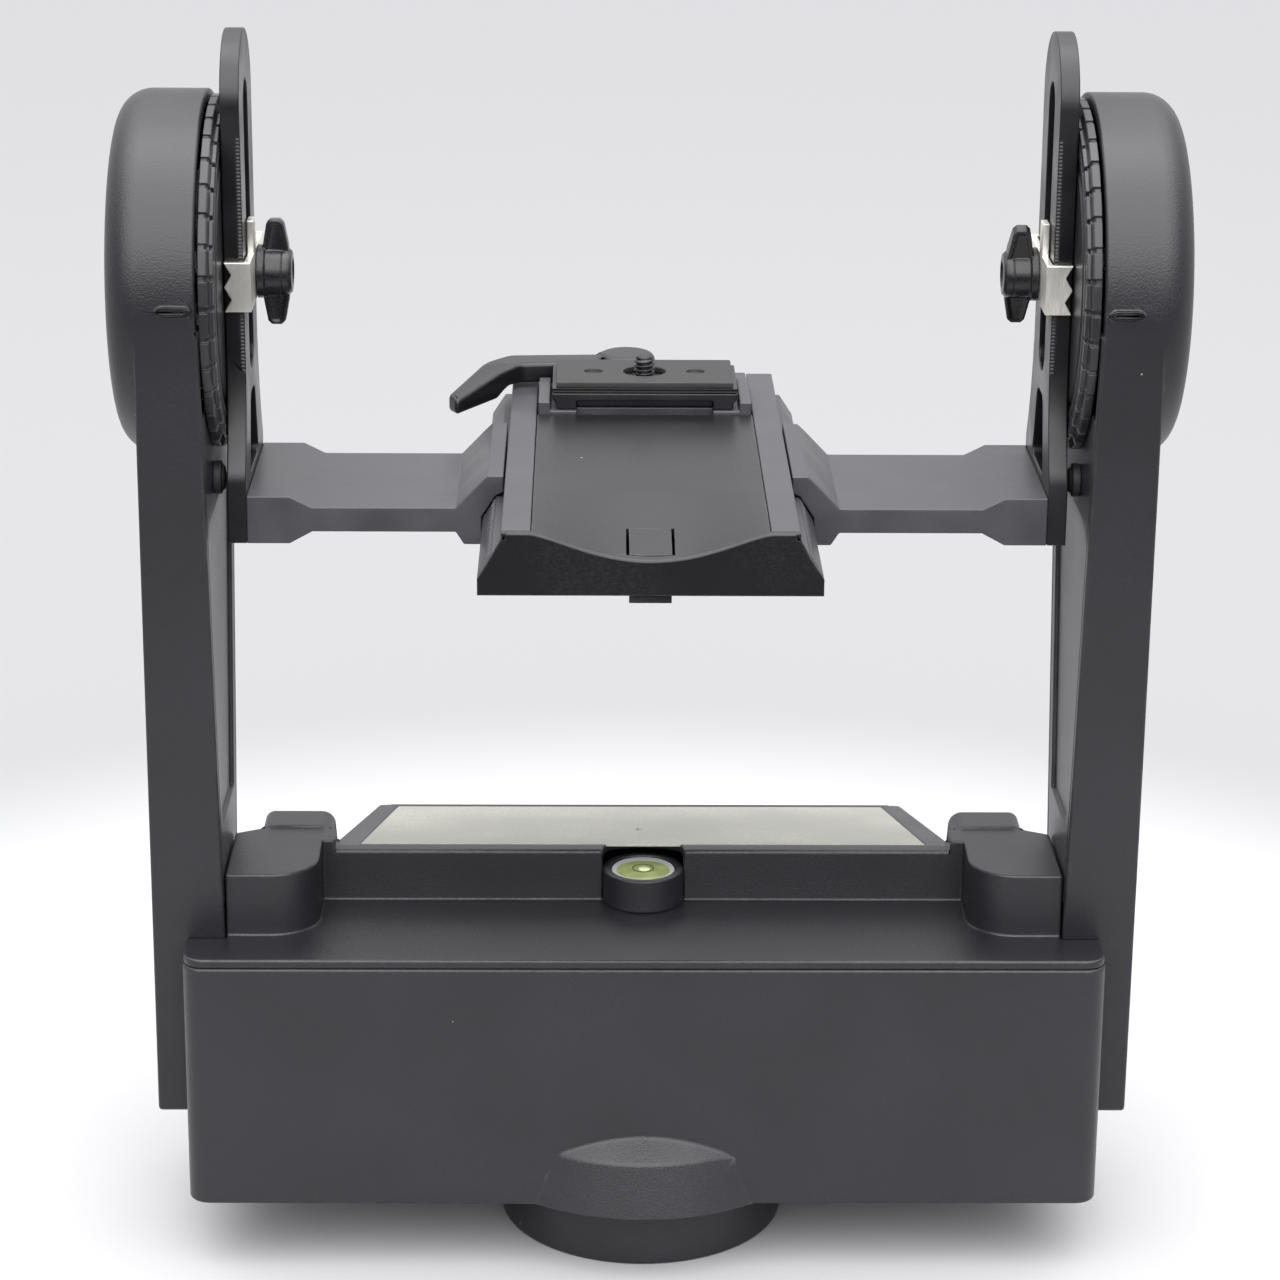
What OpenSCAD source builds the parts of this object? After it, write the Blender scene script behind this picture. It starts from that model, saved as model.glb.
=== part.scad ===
// Motorised panoramic tripod head: a base that pans on a tripod mount, two uprights
// with geared tilt drums, and a cradle whose camera tray sits low between them.
// X runs along the tilt axis, -Y is the lens side, +Z is up.
// The origin is the mouth of the tripod thread, on the pan axis.

/* [Base] */
// Width of the base housing
base_w = 259; // [250:1:275]
// Pan axis to the flat front face
base_front = 42; // [40:1:50]
// Pan axis to the rear wall
base_back = 88; // [84:1:100]
// Height of the housing's underside
base_bottom = 20; // [18:1:24]
// Height of the seam between the lower housing and the top cover
seam_z = 92.3; // [88:0.5:96]
// Thickness of the moulded walls
wall = 3; // [2:0.1:4]
// Radius of the housing's upright corners
corner_r = 6; // [3:0.5:10]
// Pan axis to the back of the full-width part
wide_back = 40; // [34:1:46]
// Half width of the console where it leaves the full-width part
console_near = 92; // [86:1:98]
// Half width of the console at the rear wall
console_far = 79; // [70:1:86]
// Radius of the round bulge under the front face, at its edge
bulge_r = 48.6; // [46:0.2:54]
// Height of that edge above the underside
bulge_h = 15.4; // [12:0.2:20]

/* [Deck] */
// Height of the front deck
deck_z = 95; // [94:0.5:99]
// Pan axis to the step wall behind the deck
step_y = 3; // [0:0.5:8]
// Height of the console's front edge
console_z = 110.5; // [106:0.5:116]
// Height of the console's rear edge
console_rear_z = 96; // [94:0.5:100]
// Pan axis to the console's rear edge
console_edge_y = 78; // [74:1:82]
// Width of the faceplate along its near edge
plate_near_w = 164; // [150:1:170]
// Width of the faceplate along its far edge
plate_far_w = 149; // [130:1:152]
// Radius of the level's green vial
vial_r = 9.4; // [8:0.1:10]
// Radius of the round housing of the level
level_r = 11.7; // [11.4:0.1:14]
// Height of the level above the front deck
level_h = 10; // [7:0.5:12]
// Width of the two blocks that carry the uprights
block_w = 25.6; // [23:0.1:27.5]
// Height of those blocks
block_z = 113.5; // [111.5:0.1:114]
// Height of the raised part behind each block
block_rear_z = 114.2; // [113:0.1:118]

/* [Uprights and drums] */
// Tilt axis to the tripod mount's face
tilt_z = 281.5; // [275:0.5:290]
// Pan axis to the inner face of an upright
arm_in = 118.5; // [118:0.25:120]
// Width of an upright along the tilt axis, at its foot
arm_w = 21.5; // [20:0.5:24]
// Width of an upright at the tilt axis
arm_top_w = 16.8; // [15.5:0.1:18.5]
// Pan axis to the front corner of an upright's foot
foot_front = 18; // [15:0.5:21]
// Height of the uprights' lower ends
arm_bottom = 37.4; // [34:0.2:46]
// Depth of an upright at its lower end
arm_foot_d = 22; // [20:0.5:26]
// Radius of the tilt drums
drum_r = 49.5; // [48.5:0.1:53]
// Width of a drum along the tilt axis
drum_w = 24.3; // [24.2:0.1:30]
// Radius of the drums' outer edge
drum_edge_r = 9; // [5:0.5:12]

/* [Tilt dials] */
// Radius of the tilt dials
dial_r = 47.9; // [46:0.1:48.2]
// Thickness of a dial
dial_t = 3.8; // [3:0.1:3.8]
// Number of divisions on a dial
dial_marks = 36; // [24:6:72]
// Radius of the tilt shafts
shaft_r = 7.5; // [6:0.25:8]
// Radius of the clamping studs
stud_r = 3.1; // [2.8:0.1:3.4]

/* [Cradle] */
// Pan axis to the inner face of a side plate
plate_in = 108.9; // [107.5:0.1:109.2]
// Thickness of the side plates
plate_t = 5.2; // [4.5:0.1:5.3]
// Width of a side plate
plate_w = 37; // [34:0.5:40]
// Height of the side plates' round tops
plate_top = 347.8; // [342:0.2:356]
// Lower end of the slots
slot_low = 254.5; // [252:0.5:258]
// Upper end of the slots
slot_high = 334.5; // [328:0.5:338]
// Width of the slots
slot_w = 12.4; // [12:0.1:14]
// Depth of the crossbar
bar_d = 56; // [50:1:64]
// Underside of the crossbar's thick ends
bar_low = 212.1; // [211.6:0.1:212.6]
// Top of the crossbar's thick ends
bar_high = 225.4; // [224:0.1:227]
// Top of the walls that hold the tray
trough_z = 231.4; // [230.4:0.1:231.6]

/* [Camera tray] */
// Length of the tray
tray_l = 168; // [150:1:180]
// Width of the tray's foot
tray_w = 89.6; // [88:0.2:91]
// Underside of the tray
tray_low = 215.2; // [215:0.1:216]
// Top of the tray's rails
tray_top = 232; // [231.8:0.1:234]
// Outer width across the rails
rail_w = 77.2; // [76:0.2:78]
// Inner width between the rails
rail_gap = 62; // [60:0.2:64]
// Rear end of the tray to the camera screw
screw_back = 33; // [30:1:38]
// Radius of the camera screw's thread
screw_r = 3.1; // [3:0.05:3.2]
// Length of thread that stands above the pad
screw_stand = 4.5; // [4:0.25:6]
// Width of the release plate
plate_qr_w = 53.6; // [50:0.2:56]
// Depth of the release plate
plate_qr_d = 28.4; // [26:0.2:34]

/* [Fits] */
// Gap between flat faces that move past each other
gap = 0.3; // [0.3:0.05:0.5]
// Radial clearance of a shaft in its bore
fit = 0.06; // [0.02:0.01:0.1]
// Number of facets on round surfaces
round_fn = 96; // [48:8:144]

/* [Hidden] */
$fn = round_fn;

eps = 0.01;

// Colours
charcoal = "#3a3a3c";
black = "#222224";
graphite = "#55555a";
silver = "#b4aca0";
steel = "#9a9aa0";
beige = "#b8b8ae";

// Points of a polygon with each corner rounded by its own radius
function unit(v) = v / norm(v);
function arc_points(c, r, a0, a1, n) = [for (i = [0 : n])
    c + r * [cos(a0 + (a1 - a0) * i / n), sin(a0 + (a1 - a0) * i / n)]];
function corner_arc(p, a, b, r, n) =
    let (u = unit(a - p), v = unit(b - p), half = acos(u * v) / 2, reach = r / tan(half),
         c = p + unit(u + v) * r / sin(half), s = p + u * reach - c, e = p + v * reach - c,
         a0 = atan2(s.y, s.x), turn = atan2(e.y, e.x) - a0,
         a1 = a0 + (turn > 180 ? turn - 360 : turn < -180 ? turn + 360 : turn))
    arc_points(c, r, a0, a1, n);
function rounded(pts, radii, n = 8) =
    [for (i = [0 : len(pts) - 1])
        let (before = pts[(i + len(pts) - 1) % len(pts)], after = pts[(i + 1) % len(pts)])
        each (radii[i] > 0 ? corner_arc(pts[i], before, after, radii[i], n) : [pts[i]])];
function mirrored(pts) = concat(pts, [for (i = [len(pts) - 1 : -1 : 0]) [-pts[i].x, pts[i].y]]);

// An outline in Y and Z, given a thickness along X from x0 outwards
module along_x(x0, t) { translate([x0, 0, 0]) rotate([90, 0, 90]) linear_extrude(t) children(); }
// An outline in X and Z, given a thickness along Y from y0 backwards
module along_y(y0, t) { translate([0, y0 + t, 0]) rotate([90, 0, 0]) linear_extrude(t) children(); }
module rod_x(x0, x1, r) { translate([x0, 0, 0]) rotate([0, 90, 0]) cylinder(h = x1 - x0, r = r); }
module both_sides() { children(); mirror([1, 0, 0]) children(); }
module block(lo, hi) { translate(lo) cube(hi - lo); }

// ---------------------------------------------------------------- tripod mount
ring_r = 41;
ring_wall = 3;
column_r = 18;
insert_r = 8;
insert_h = 12;
thread_r = 3.97;
plate_h = 5;
ring_top = base_bottom - gap;
gear_m = 1;
pan_teeth = 60;
pinion_teeth = 12;
bearing_h = 6.5;
bearing_r = 26;
gear_h = 5;
gear_z = base_bottom + bearing_h + 1.1;
gear_bore = 6;
column_top = gear_z + gear_h;
gear_screw_pcd = 26;
gear_screw_r = 1.5;

module base_ring() {
    color(charcoal) difference() {
        union() {
            rotate_extrude() polygon(rounded([[0, 0], [ring_r, 0], [ring_r, ring_top], [0, ring_top]],
                [0, 1.2, 0.8, 0], 4));
            cylinder(h = gear_z, r = column_r);
        }
        translate([0, 0, -eps]) cylinder(h = plate_h + eps, r = ring_r - ring_wall);
        translate([0, 0, -eps]) cylinder(h = insert_h + 1, r = insert_r);
        for (i = [0 : 3]) rotate(90 * i) translate([gear_screw_pcd / 2, 0, gear_z - 10])
            cylinder(h = 11, r = gear_screw_r, $fn = 24);
    }
}
module mount_plate() {
    color(steel) difference() {
        cylinder(h = plate_h, r = ring_r - ring_wall - fit);
        translate([0, 0, -eps]) cylinder(h = plate_h + 1, r = insert_r);
    }
}
module thread_insert() {
    color(steel) difference() {
        cylinder(h = insert_h, r = insert_r);
        translate([0, 0, -eps]) cylinder(h = insert_h + 1, r = thread_r);
    }
}

// Straight-flanked teeth, narrow enough to roll together with a little play
module gear_outline(teeth, bore) {
    pitch_r = gear_m * teeth / 2;
    step = 360 / teeth;
    difference() {
        polygon([for (i = [0 : teeth - 1]) each [
            for (k = [[-0.27, -1.15], [-0.12, 0.8], [0.12, 0.8], [0.27, -1.15]])
                (pitch_r + k[1] * gear_m) * [cos((i + k[0]) * step), sin((i + k[0]) * step)]]]);
        if (bore > 0) circle(r = bore);
    }
}
pinion_gap = 0.15;
pan_centres = gear_m * (pan_teeth + pinion_teeth) / 2 + pinion_gap;

module pan_gear() {
    color(steel) translate([0, 0, gear_z]) difference() {
        linear_extrude(gear_h) gear_outline(pan_teeth, gear_bore);
        for (i = [0 : 3]) rotate(90 * i) translate([gear_screw_pcd / 2, 0, -eps])
            cylinder(h = gear_h + 1, r = gear_screw_r, $fn = 24);
    }
}
module gear_screws() {
    color(steel) for (i = [0 : 3]) rotate(90 * i) translate([gear_screw_pcd / 2, 0, column_top])
        screw(gear_screw_r, gear_h + 9, 2.8);
}
// A pan-head screw, head upwards from z = 0, shank downwards
module screw(r, l, head_r) {
    difference() {
        union() {
            cylinder(h = head_r * 0.6, r = head_r, $fn = 32);
            translate([0, 0, -l]) cylinder(h = l, r = r - fit, $fn = 24);
        }
        translate([0, 0, head_r * 0.25]) cylinder(h = head_r, r = head_r * 0.5, $fn = 6);
    }
}
module pan_bearing() {
    color(steel) translate([0, 0, base_bottom + 0.6]) difference() {
        cylinder(h = bearing_h - 0.6, r = bearing_r);
        translate([0, 0, -eps]) cylinder(h = bearing_h + 1, r = column_r + fit);
    }
}
pan_motor_r = 14;
pan_motor_h = 28;
bracket_z = column_top + 3.5;
bracket_t = 3;
bracket_w = 44;
module pan_pinion() {
    color("#c8b070") translate([0, pan_centres, gear_z - 0.5]) difference() {
        rotate(180 / pinion_teeth) linear_extrude(gear_h + 1) gear_outline(pinion_teeth, 0);
        translate([0, 0, -eps]) cylinder(h = gear_h + 2, r = 2 + fit, $fn = 32);
    }
}
module pan_bracket() {
    post = 5;
    color(steel) difference() {
        union() {
            block([-bracket_w / 2, pan_centres - 17, bracket_z],
                [bracket_w / 2, pan_centres + 17, bracket_z + bracket_t]);
            for (s = [-1, 1]) translate([s * (bracket_w / 2 - post), pan_centres + 17 - post,
                base_bottom + wall])
                cylinder(h = bracket_z - base_bottom - wall, r = post - 1, $fn = 32);
        }
        translate([0, pan_centres, bracket_z - 1]) cylinder(h = bracket_t + 2, r = 4, $fn = 48);
    }
}
module pan_motor() {
    color(graphite) translate([0, pan_centres, 0]) {
        translate([0, 0, bracket_z + bracket_t]) cylinder(h = pan_motor_h, r = pan_motor_r);
        translate([0, 0, gear_z + 1]) cylinder(h = bracket_z + bracket_t - gear_z, r = 2, $fn = 32);
    }
}

// ---------------------------------------------------------------- base housing
half_w = base_w / 2;
rear_low_z = 70;
function plan_points(inset) = rounded([
    [half_w - inset, -base_front + inset], [half_w - inset, wide_back - inset],
        [console_near - inset, wide_back - inset],
    [console_far - inset, base_back - inset], [-console_far + inset, base_back - inset],
    [-console_near + inset, wide_back - inset], [-half_w + inset, wide_back - inset],
        [-half_w + inset, -base_front + inset]],
    [for (r = [corner_r, corner_r, 0, corner_r, corner_r, 0, corner_r, corner_r]) max(r - inset, 0)]);
// The rear wall leans back from the console's edge
rear_lean = atan2(base_back - console_edge_y, console_rear_z - rear_low_z);
module rear_cut(inset) {
    along_x(-half_w, base_w) polygon([[console_edge_y - inset, console_rear_z],
        [base_back - inset, rear_low_z],
        [base_back + 20, rear_low_z], [base_back + 20, console_rear_z + 20],
            [console_edge_y - inset, console_rear_z + 20]]);
}
pocket_gap = 0.2;
// Side profile of an upright: both edges run from the foot to a tangent on the drum
foot_back = arm_foot_d - foot_front;
arm_head_r = drum_r - 0.15;
function lean(y, side) = atan2(tilt_z - arm_bottom, -y) - side * asin(arm_head_r / norm([y,
    tilt_z - arm_bottom]));
front_a = lean(-foot_front, -1);
back_a = lean(foot_back, 1);
function front_y(z, inset) = -foot_front + inset / sin(front_a) + (z - arm_bottom) / tan(front_a);
function back_y(z, inset) = foot_back - inset / sin(back_a) + (z - arm_bottom) / tan(back_a);
// The space in front of and behind the upright's front edge, between two heights
module behind_front(z0, z1, inset, back) {
    polygon([[front_y(z0, inset), z0], [back, z0], [back, z1], [front_y(z1, inset), z1]]);
}
module arm_pocket() {
    along_x(arm_in, arm_w) behind_front(arm_bottom - pocket_gap, deck_z + 60, -pocket_gap, wide_back + 1);
}
post_r = 4;
board_z = 76;
board_w = 110;
board_d = 50;
board_y = 8;
battery_w = 46;
battery_x = 26;
battery_h = 36;
battery_z = 30;
battery_l = 56;
function board_post(i) = [(i % 2 == 0 ? -1 : 1) * (board_w / 2 - post_r),
    (i < 2 ? board_y + post_r + 2 : board_y + board_d - post_r)];

bulge_flare = 3.4;
bulge_slope = 39.5;
// Round below, with a conical top that runs back into the flat front face
module bulge() {
    low_r = bulge_r + bulge_flare;
    top_r = base_front - wall / 2;
    top = bulge_h + (bulge_r - top_r) * tan(bulge_slope);
    difference() {
        translate([0, 0, base_bottom]) rotate_extrude()
            polygon([[0, 0], [low_r, 0], [bulge_r, bulge_h], [top_r, top], [0, top]]);
        block([-low_r - 1, -base_front + wall, base_bottom - 1],
            [low_r + 1, low_r + 1, base_bottom + top + 1]);
    }
}
module base_shell() {
    color(charcoal) difference() {
        union() {
            difference() {
                translate([0, 0, base_bottom]) linear_extrude(seam_z - base_bottom)
                    polygon(plan_points(0));
                translate([0, 0, base_bottom + wall]) linear_extrude(seam_z) polygon(plan_points(wall));
            }
            bulge();
            // Seat of the pan bearing
            translate([0, 0, base_bottom]) cylinder(h = bearing_h, r = bearing_r + wall);
            // Inner walls of the two pockets that take the uprights
            both_sides() difference() {
                along_x(arm_in - wall, half_w - 1 - arm_in + wall)
                    behind_front(base_bottom, seam_z, -pocket_gap - wall, wide_back - 1);
                along_x(arm_in, half_w - wall - arm_in)
                    behind_front(base_bottom + wall, arm_bottom - pocket_gap - wall, 0, wide_back - wall);
            }
            // Walls of the battery bay
            block([battery_x - 2.5, base_back - wall - battery_l, base_bottom + wall - eps],
                [battery_x + battery_w + 2.5, base_back - 1, battery_z + battery_h + 2.5]);
            for (i = [0 : 3]) translate(concat(board_post(i), base_bottom + wall - eps))
                cylinder(h = board_z - base_bottom - wall, r = post_r - 1, $fn = 32);
        }
        rear_cut(0);
        block([-console_far + wall, base_back - wall - 1, rear_low_z],
            [console_far - wall, base_back + 1, seam_z + 1]);
        both_sides() arm_pocket();
        both_sides() bolt_places() translate([0, 0, -1]) cylinder(h = wall + 2, r = 2, $fn = 32);
        translate([0, 0, base_bottom - 1]) cylinder(h = 40, r = column_r + 2);
        translate([0, 0, base_bottom + 0.6]) cylinder(h = 40, r = bearing_r);
        block([battery_x, base_back - battery_l, battery_z],
            [battery_x + battery_w, base_back + 1, battery_z + battery_h]);
        rear_holes();
        shell_screw_holes();
    }
}
jack_z = 48;
dc_x = -34;
trigger_x = -52;
power_x = -14;
dc_body_r = 5;
trigger_body_r = 4;
power_r = 6;
module at_rear(x, z) { translate([x, base_back, z]) rotate([-90, 0, 0]) children(); }
module rear_holes() {
    at_rear(dc_x, jack_z) translate([0, 0, -wall - 1]) cylinder(h = wall + 2, r = dc_body_r, $fn = 48);
    at_rear(trigger_x, jack_z) translate([0, 0, -wall - 1])
        cylinder(h = wall + 2, r = trigger_body_r, $fn = 48);
    at_rear(power_x, jack_z) translate([0, 0, -wall - 1]) cylinder(h = wall + 2, r = power_r, $fn = 48);
}
// Four screws join the lower housing to the top cover from below
shell_screw_xy = [[-90, -30], [90, -30], [-84, 30], [84, 30]];
module shell_screw_holes() {
    for (p = shell_screw_xy) translate([p.x, p.y, base_bottom - 1])
        cylinder(h = wall + 2, r = 1.8, $fn = 24);
    for (p = shell_screw_xy) translate([p.x, p.y, base_bottom - 1])
        cylinder(h = 1 + 1.6, r = 3.6, $fn = 32);
}
module shell_screws() {
    color(steel) for (p = shell_screw_xy) translate([p.x, p.y, base_bottom + 1.6]) mirror([0, 0, 1])
        translate([0, 0, -0]) shell_screw();
}
boss_low = base_bottom + wall + 0.2;
module shell_screw() {
    difference() {
        union() {
            cylinder(h = 1.4, r = 3.2, $fn = 32);
            translate([0, 0, -14]) cylinder(h = 14 + eps, r = 1.5, $fn = 24);
        }
        translate([0, 0, 0.5]) cylinder(h = 2, r = 1.5, $fn = 6);
    }
}

// ---------------------------------------------------------------- top cover
cover_t = deck_z - seam_z;
console_tilt = atan2(console_z - console_rear_z, console_edge_y - step_y - 4);
module console_solid(inset) {
    front = step_y + inset;
    top_drop = inset * 1.05;
    intersection() {
        along_x(-half_w, base_w) polygon(rounded([
            [front, seam_z - 1], [front, console_z - top_drop],
                [step_y + 4 + inset, console_z - top_drop],
            [console_edge_y - inset, console_rear_z - top_drop], [base_back - inset, rear_low_z],
                [base_back - inset, seam_z - 25],
            [front, seam_z - 25]], [0, 1.2, 0, 1.5, 0, 0, 0], 5));
        translate([0, 0, seam_z - inset * 2]) linear_extrude(60) polygon([
            [console_near - 2 - inset, step_y - 1], [console_near - 2 - inset, step_y + 4],
                [console_far - inset * 1.1, base_back + 1],
            [-console_far + inset * 1.1, base_back + 1], [-console_near + 2 + inset, step_y + 4],
                [-console_near + 2 + inset, step_y - 1]]);
    }
}
block_in = arm_in - gap - block_w;
// Two rounded blocks tie the uprights to the deck; each has a raised rear part
block_corner_r = 13;
block_rear_y = 13;
block_rear_l = 12.4;
block_rear_in = 7.6;
module side_block(inset) {
    x_out = arm_in - gap - inset;
    x_rear = arm_in - gap - block_rear_in - inset;
    x_in = console_near - 3 + inset;
    front = front_y(deck_z, inset) + 1.5;
    rear = block_rear_y - inset;
    root = deck_z - 1 - (inset > 0 ? wall : 0);
    translate([0, 0, root]) linear_extrude(block_z - inset - root) polygon(rounded([
        [x_out, front], [x_out, rear - 4], [x_rear, rear], [x_in, rear], [x_in, step_y + inset],
        [block_in + inset, step_y + inset], [block_in + inset, front]],
        [0, 2, 0, 0, 0, 0, block_corner_r - inset]));
    along_y(block_rear_y + inset, block_rear_l - 2 * inset) polygon(rounded([
        [x_rear + 0.6, root], [x_rear, block_rear_z - inset], [x_in + 1.4, block_rear_z - inset],
            [x_in, root]],
        [0, max(3 - inset, 0), max(4 - inset, 0), 0]));
}
level_y = step_y + 1;
// The wall that leans back below the console and holds the controls
module rear_wall() {
    n = wall * [cos(rear_lean), sin(rear_lean)];
    intersection() {
        along_x(-console_far, 2 * console_far)
            polygon([[console_edge_y, console_rear_z], [base_back, rear_low_z],
            [base_back - n.x, rear_low_z], [base_back - n.x, rear_low_z - n.y / 2],
                [console_edge_y - n.x, console_rear_z - n.y]]);
        translate([0, 0, rear_low_z]) linear_extrude(console_rear_z - rear_low_z - 0.5)
            polygon(plan_points(wall + 0.15));
    }
}
plate_y0 = step_y + 6;
plate_y1 = console_edge_y - 3;
plate_t_top = 0.8;
// Local frame on the sloping console: x across, y down the slope, z out of it
module on_console(y) {
    drop = (y - step_y - 4) * tan(console_tilt);
    translate([0, y, console_z - drop]) rotate([-console_tilt, 0, 0]) children();
}
module faceplate_outline(grow) {
    l = (plate_y1 - plate_y0) / cos(console_tilt);
    polygon([[plate_near_w / 2 + grow, -grow], [plate_far_w / 2 + grow, l + grow],
        [-plate_far_w / 2 - grow, l + grow], [-plate_near_w / 2 - grow, -grow]]);
}
module top_cover() {
    color(charcoal) difference() {
        union() {
            difference() {
                union() {
                    translate([0, 0, seam_z]) linear_extrude(cover_t) polygon(plan_points(0.3));
                    console_solid(0);
                    both_sides() side_block(0);
                }
                translate([0, 0, -seam_z]) linear_extrude(2 * seam_z) square(1000, center = true);
                console_solid(wall);
                both_sides() side_block(wall);
            }
            rear_wall();
            // Sockets for the screws from below
            for (p = shell_screw_xy) translate([p.x, p.y, boss_low]) difference() {
                cylinder(h = seam_z + 1 - boss_low, r = 4, $fn = 32);
                translate([0, 0, -1]) cylinder(h = 15, r = 1.56, $fn = 24);
            }
        }
        rear_cut(0);
        both_sides() along_x(arm_in - gap, arm_w)
            behind_front(seam_z - 1, block_rear_z + 1, -pocket_gap, wide_back + 1);
        on_console(plate_y0) translate([0, 0, -plate_t_top]) linear_extrude(6) faceplate_outline(0.1);
        translate([0, level_y, deck_z]) cylinder(h = 40, r = level_r);
        on_rear() translate([-bezel_w / 2 - 0.1, -bezel_h / 2 - 0.1, -12])
            cube([bezel_w + 0.2, bezel_h + 0.2, 20]);
    }
}
module faceplate() {
    color(beige) on_console(plate_y0) translate([0, 0, -plate_t_top]) linear_extrude(plate_t_top)
        faceplate_outline(0);
}
module level_housing() {
    color(charcoal) translate([0, level_y, deck_z]) difference() {
        union() {
            cylinder(h = level_h, r = level_r - fit);
            rotate_extrude() polygon(rounded([[level_r - 2, 0], [level_r + 0, 0],
                [level_r - fit, 1.5], [level_r - 2, 1.5]], [0, 0, 0, 0]));
        }
        translate([0, 0, level_h - 5]) cylinder(h = 6, r = vial_r);
    }
}
module level_vial() {
    color("#b2c26e") translate([0, level_y, deck_z + level_h - 5]) cylinder(h = 4.6, r = vial_r - fit);
}

// ---------------------------------------------------------------- rear controls
window_w = 58;
window_h = 16;
window_x = -18;
bezel_w = 128;
bezel_h = 22;
bezel_t = 2.4;
rear_len = norm([base_back - console_edge_y, console_rear_z - rear_low_z]);
rear_tilt = 90 - rear_lean;
key_r = 2.9;
key_pitch = 6.8;
key_x = 44;
key_travel = 1;
key_list = [["up", 0, -1], ["down", 0, 1], ["left", -1, 0], ["right", 1, 0], ["enter", 0, 0]];
// Local frame on the leaning rear wall: x across, y down the wall, z out of it
module on_rear() {
    mid = [(console_edge_y + base_back) / 2, (console_rear_z + rear_low_z) / 2];
    translate([0, mid.x, mid.y]) rotate([-rear_tilt, 0, 0]) children();
}
module rear_bezel() {
    color(black) on_rear() difference() {
        translate([-bezel_w / 2, -bezel_h / 2, -bezel_t]) cube([bezel_w, bezel_h, bezel_t]);
        translate([window_x - window_w / 2, -window_h / 2, -bezel_t - 1])
            cube([window_w, window_h, bezel_t + 2]);
        for (k = key_list) translate([key_x + k[1] * key_pitch, k[2] * key_pitch, -bezel_t - 1])
            cylinder(h = bezel_t + 2, r = key_r + 0.3, $fn = 40);
    }
}
window_t = 1.2;
module display_window() {
    color("#506a70") on_rear()
        translate([window_x - window_w / 2 + 0.1, -window_h / 2 + 0.1, -window_t - 0.2])
        cube([window_w - 0.2, window_h - 0.2, window_t]);
}
module display_module() {
    back = -bezel_t - key_travel - 1.2;
    color("#2c5e3a") on_rear() translate([-bezel_w / 2 + 3, -bezel_h / 2, back - 1.6])
        cube([bezel_w - 6, bezel_h, 1.6]);
    color("#405a60") on_rear() translate([window_x - window_w / 2 + 1, -window_h / 2 + 1, back])
        cube([window_w - 2, window_h - 2, -back - window_t - 0.2]);
}
module key(i) {
    k = key_list[i];
    color("#dcdcd8") on_rear() translate([key_x + k[1] * key_pitch, k[2] * key_pitch, -bezel_t]) {
        translate([0, 0, -0.7]) cylinder(h = bezel_t + 1.9, r = key_r, $fn = 40);
        translate([0, 0, -0.7]) cylinder(h = 0.6, r = key_r + 0.5, $fn = 40);
    }
}
module key_up() { key(0); }
module key_down() { key(1); }
module key_left() { key(2); }
module key_right() { key(3); }
module key_enter() { key(4); }

dc_bore_r = 2.8;
dc_bore_l = 9;
trigger_bore_r = 1.3;
trigger_bore_l = 11;
module dc_jack() {
    color(black) at_rear(dc_x, jack_z) difference() {
        union() {
            translate([0, 0, -13]) cylinder(h = 13, r = dc_body_r - fit, $fn = 48);
            translate([0, 0, -wall - 1.2]) cylinder(h = 1.2, r = dc_body_r + 1.4, $fn = 48);
            cylinder(h = 0.6, r = dc_body_r + 0.8, $fn = 48);
        }
        translate([0, 0, 0.6 - dc_bore_l]) cylinder(h = dc_bore_l + 1, r = dc_bore_r, $fn = 48);
    }
}
module trigger_jack() {
    color(black) at_rear(trigger_x, jack_z) difference() {
        union() {
            translate([0, 0, -14]) cylinder(h = 14, r = trigger_body_r - fit, $fn = 48);
            translate([0, 0, -wall - 1.2]) cylinder(h = 1.2, r = trigger_body_r + 1.4, $fn = 48);
            cylinder(h = 0.6, r = trigger_body_r + 0.8, $fn = 48);
        }
        translate([0, 0, 0.6 - trigger_bore_l])
            cylinder(h = trigger_bore_l + 1, r = trigger_bore_r, $fn = 48);
    }
}
module power_button() {
    color("#dcdcd8") at_rear(power_x, jack_z) {
        translate([0, 0, -wall - 1.2]) cylinder(h = wall + 1.2 + 1.6, r = power_r - 0.3, $fn = 48);
        translate([0, 0, -wall - 1.2]) cylinder(h = 1.2 - gap / 2, r = power_r + 1, $fn = 48);
    }
}
module control_board() {
    color("#2c5e3a") difference() {
        block([-board_w / 2, board_y, board_z], [board_w / 2, board_y + board_d, board_z + 1.6]);
        for (i = [0 : 3]) translate(concat(board_post(i), board_z - 1))
            cylinder(h = 4, r = 1.5, $fn = 24);
    }
    color(black) {
        block([-30, board_y + 14, board_z + 1.6], [-14, board_y + 30, board_z + 3.2]);
        block([8, board_y + 10, board_z + 1.6], [20, board_y + 18, board_z + 6]);
        for (i = [0 : 4]) translate([-44 + i * 18, board_y + 41, board_z + 1.6])
            cylinder(h = 7, r = 3, $fn = 32);
    }
}
module battery_pack() {
    color(black) difference() {
        block([battery_x + gap, base_back - battery_l + gap, battery_z + gap],
            [battery_x + battery_w - gap, base_back, battery_z + battery_h - gap]);
        // Finger recess in the outer end
        translate([battery_x + battery_w / 2, base_back + 6, battery_z + battery_h / 2])
            rotate([0, 90, 0])
            cylinder(h = battery_w * 0.5, r = 11, center = true, $fn = 64);
    }
}

// ---------------------------------------------------------------- uprights
drum_in = arm_in + 0.5;
drum_out = drum_in + drum_w;
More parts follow.
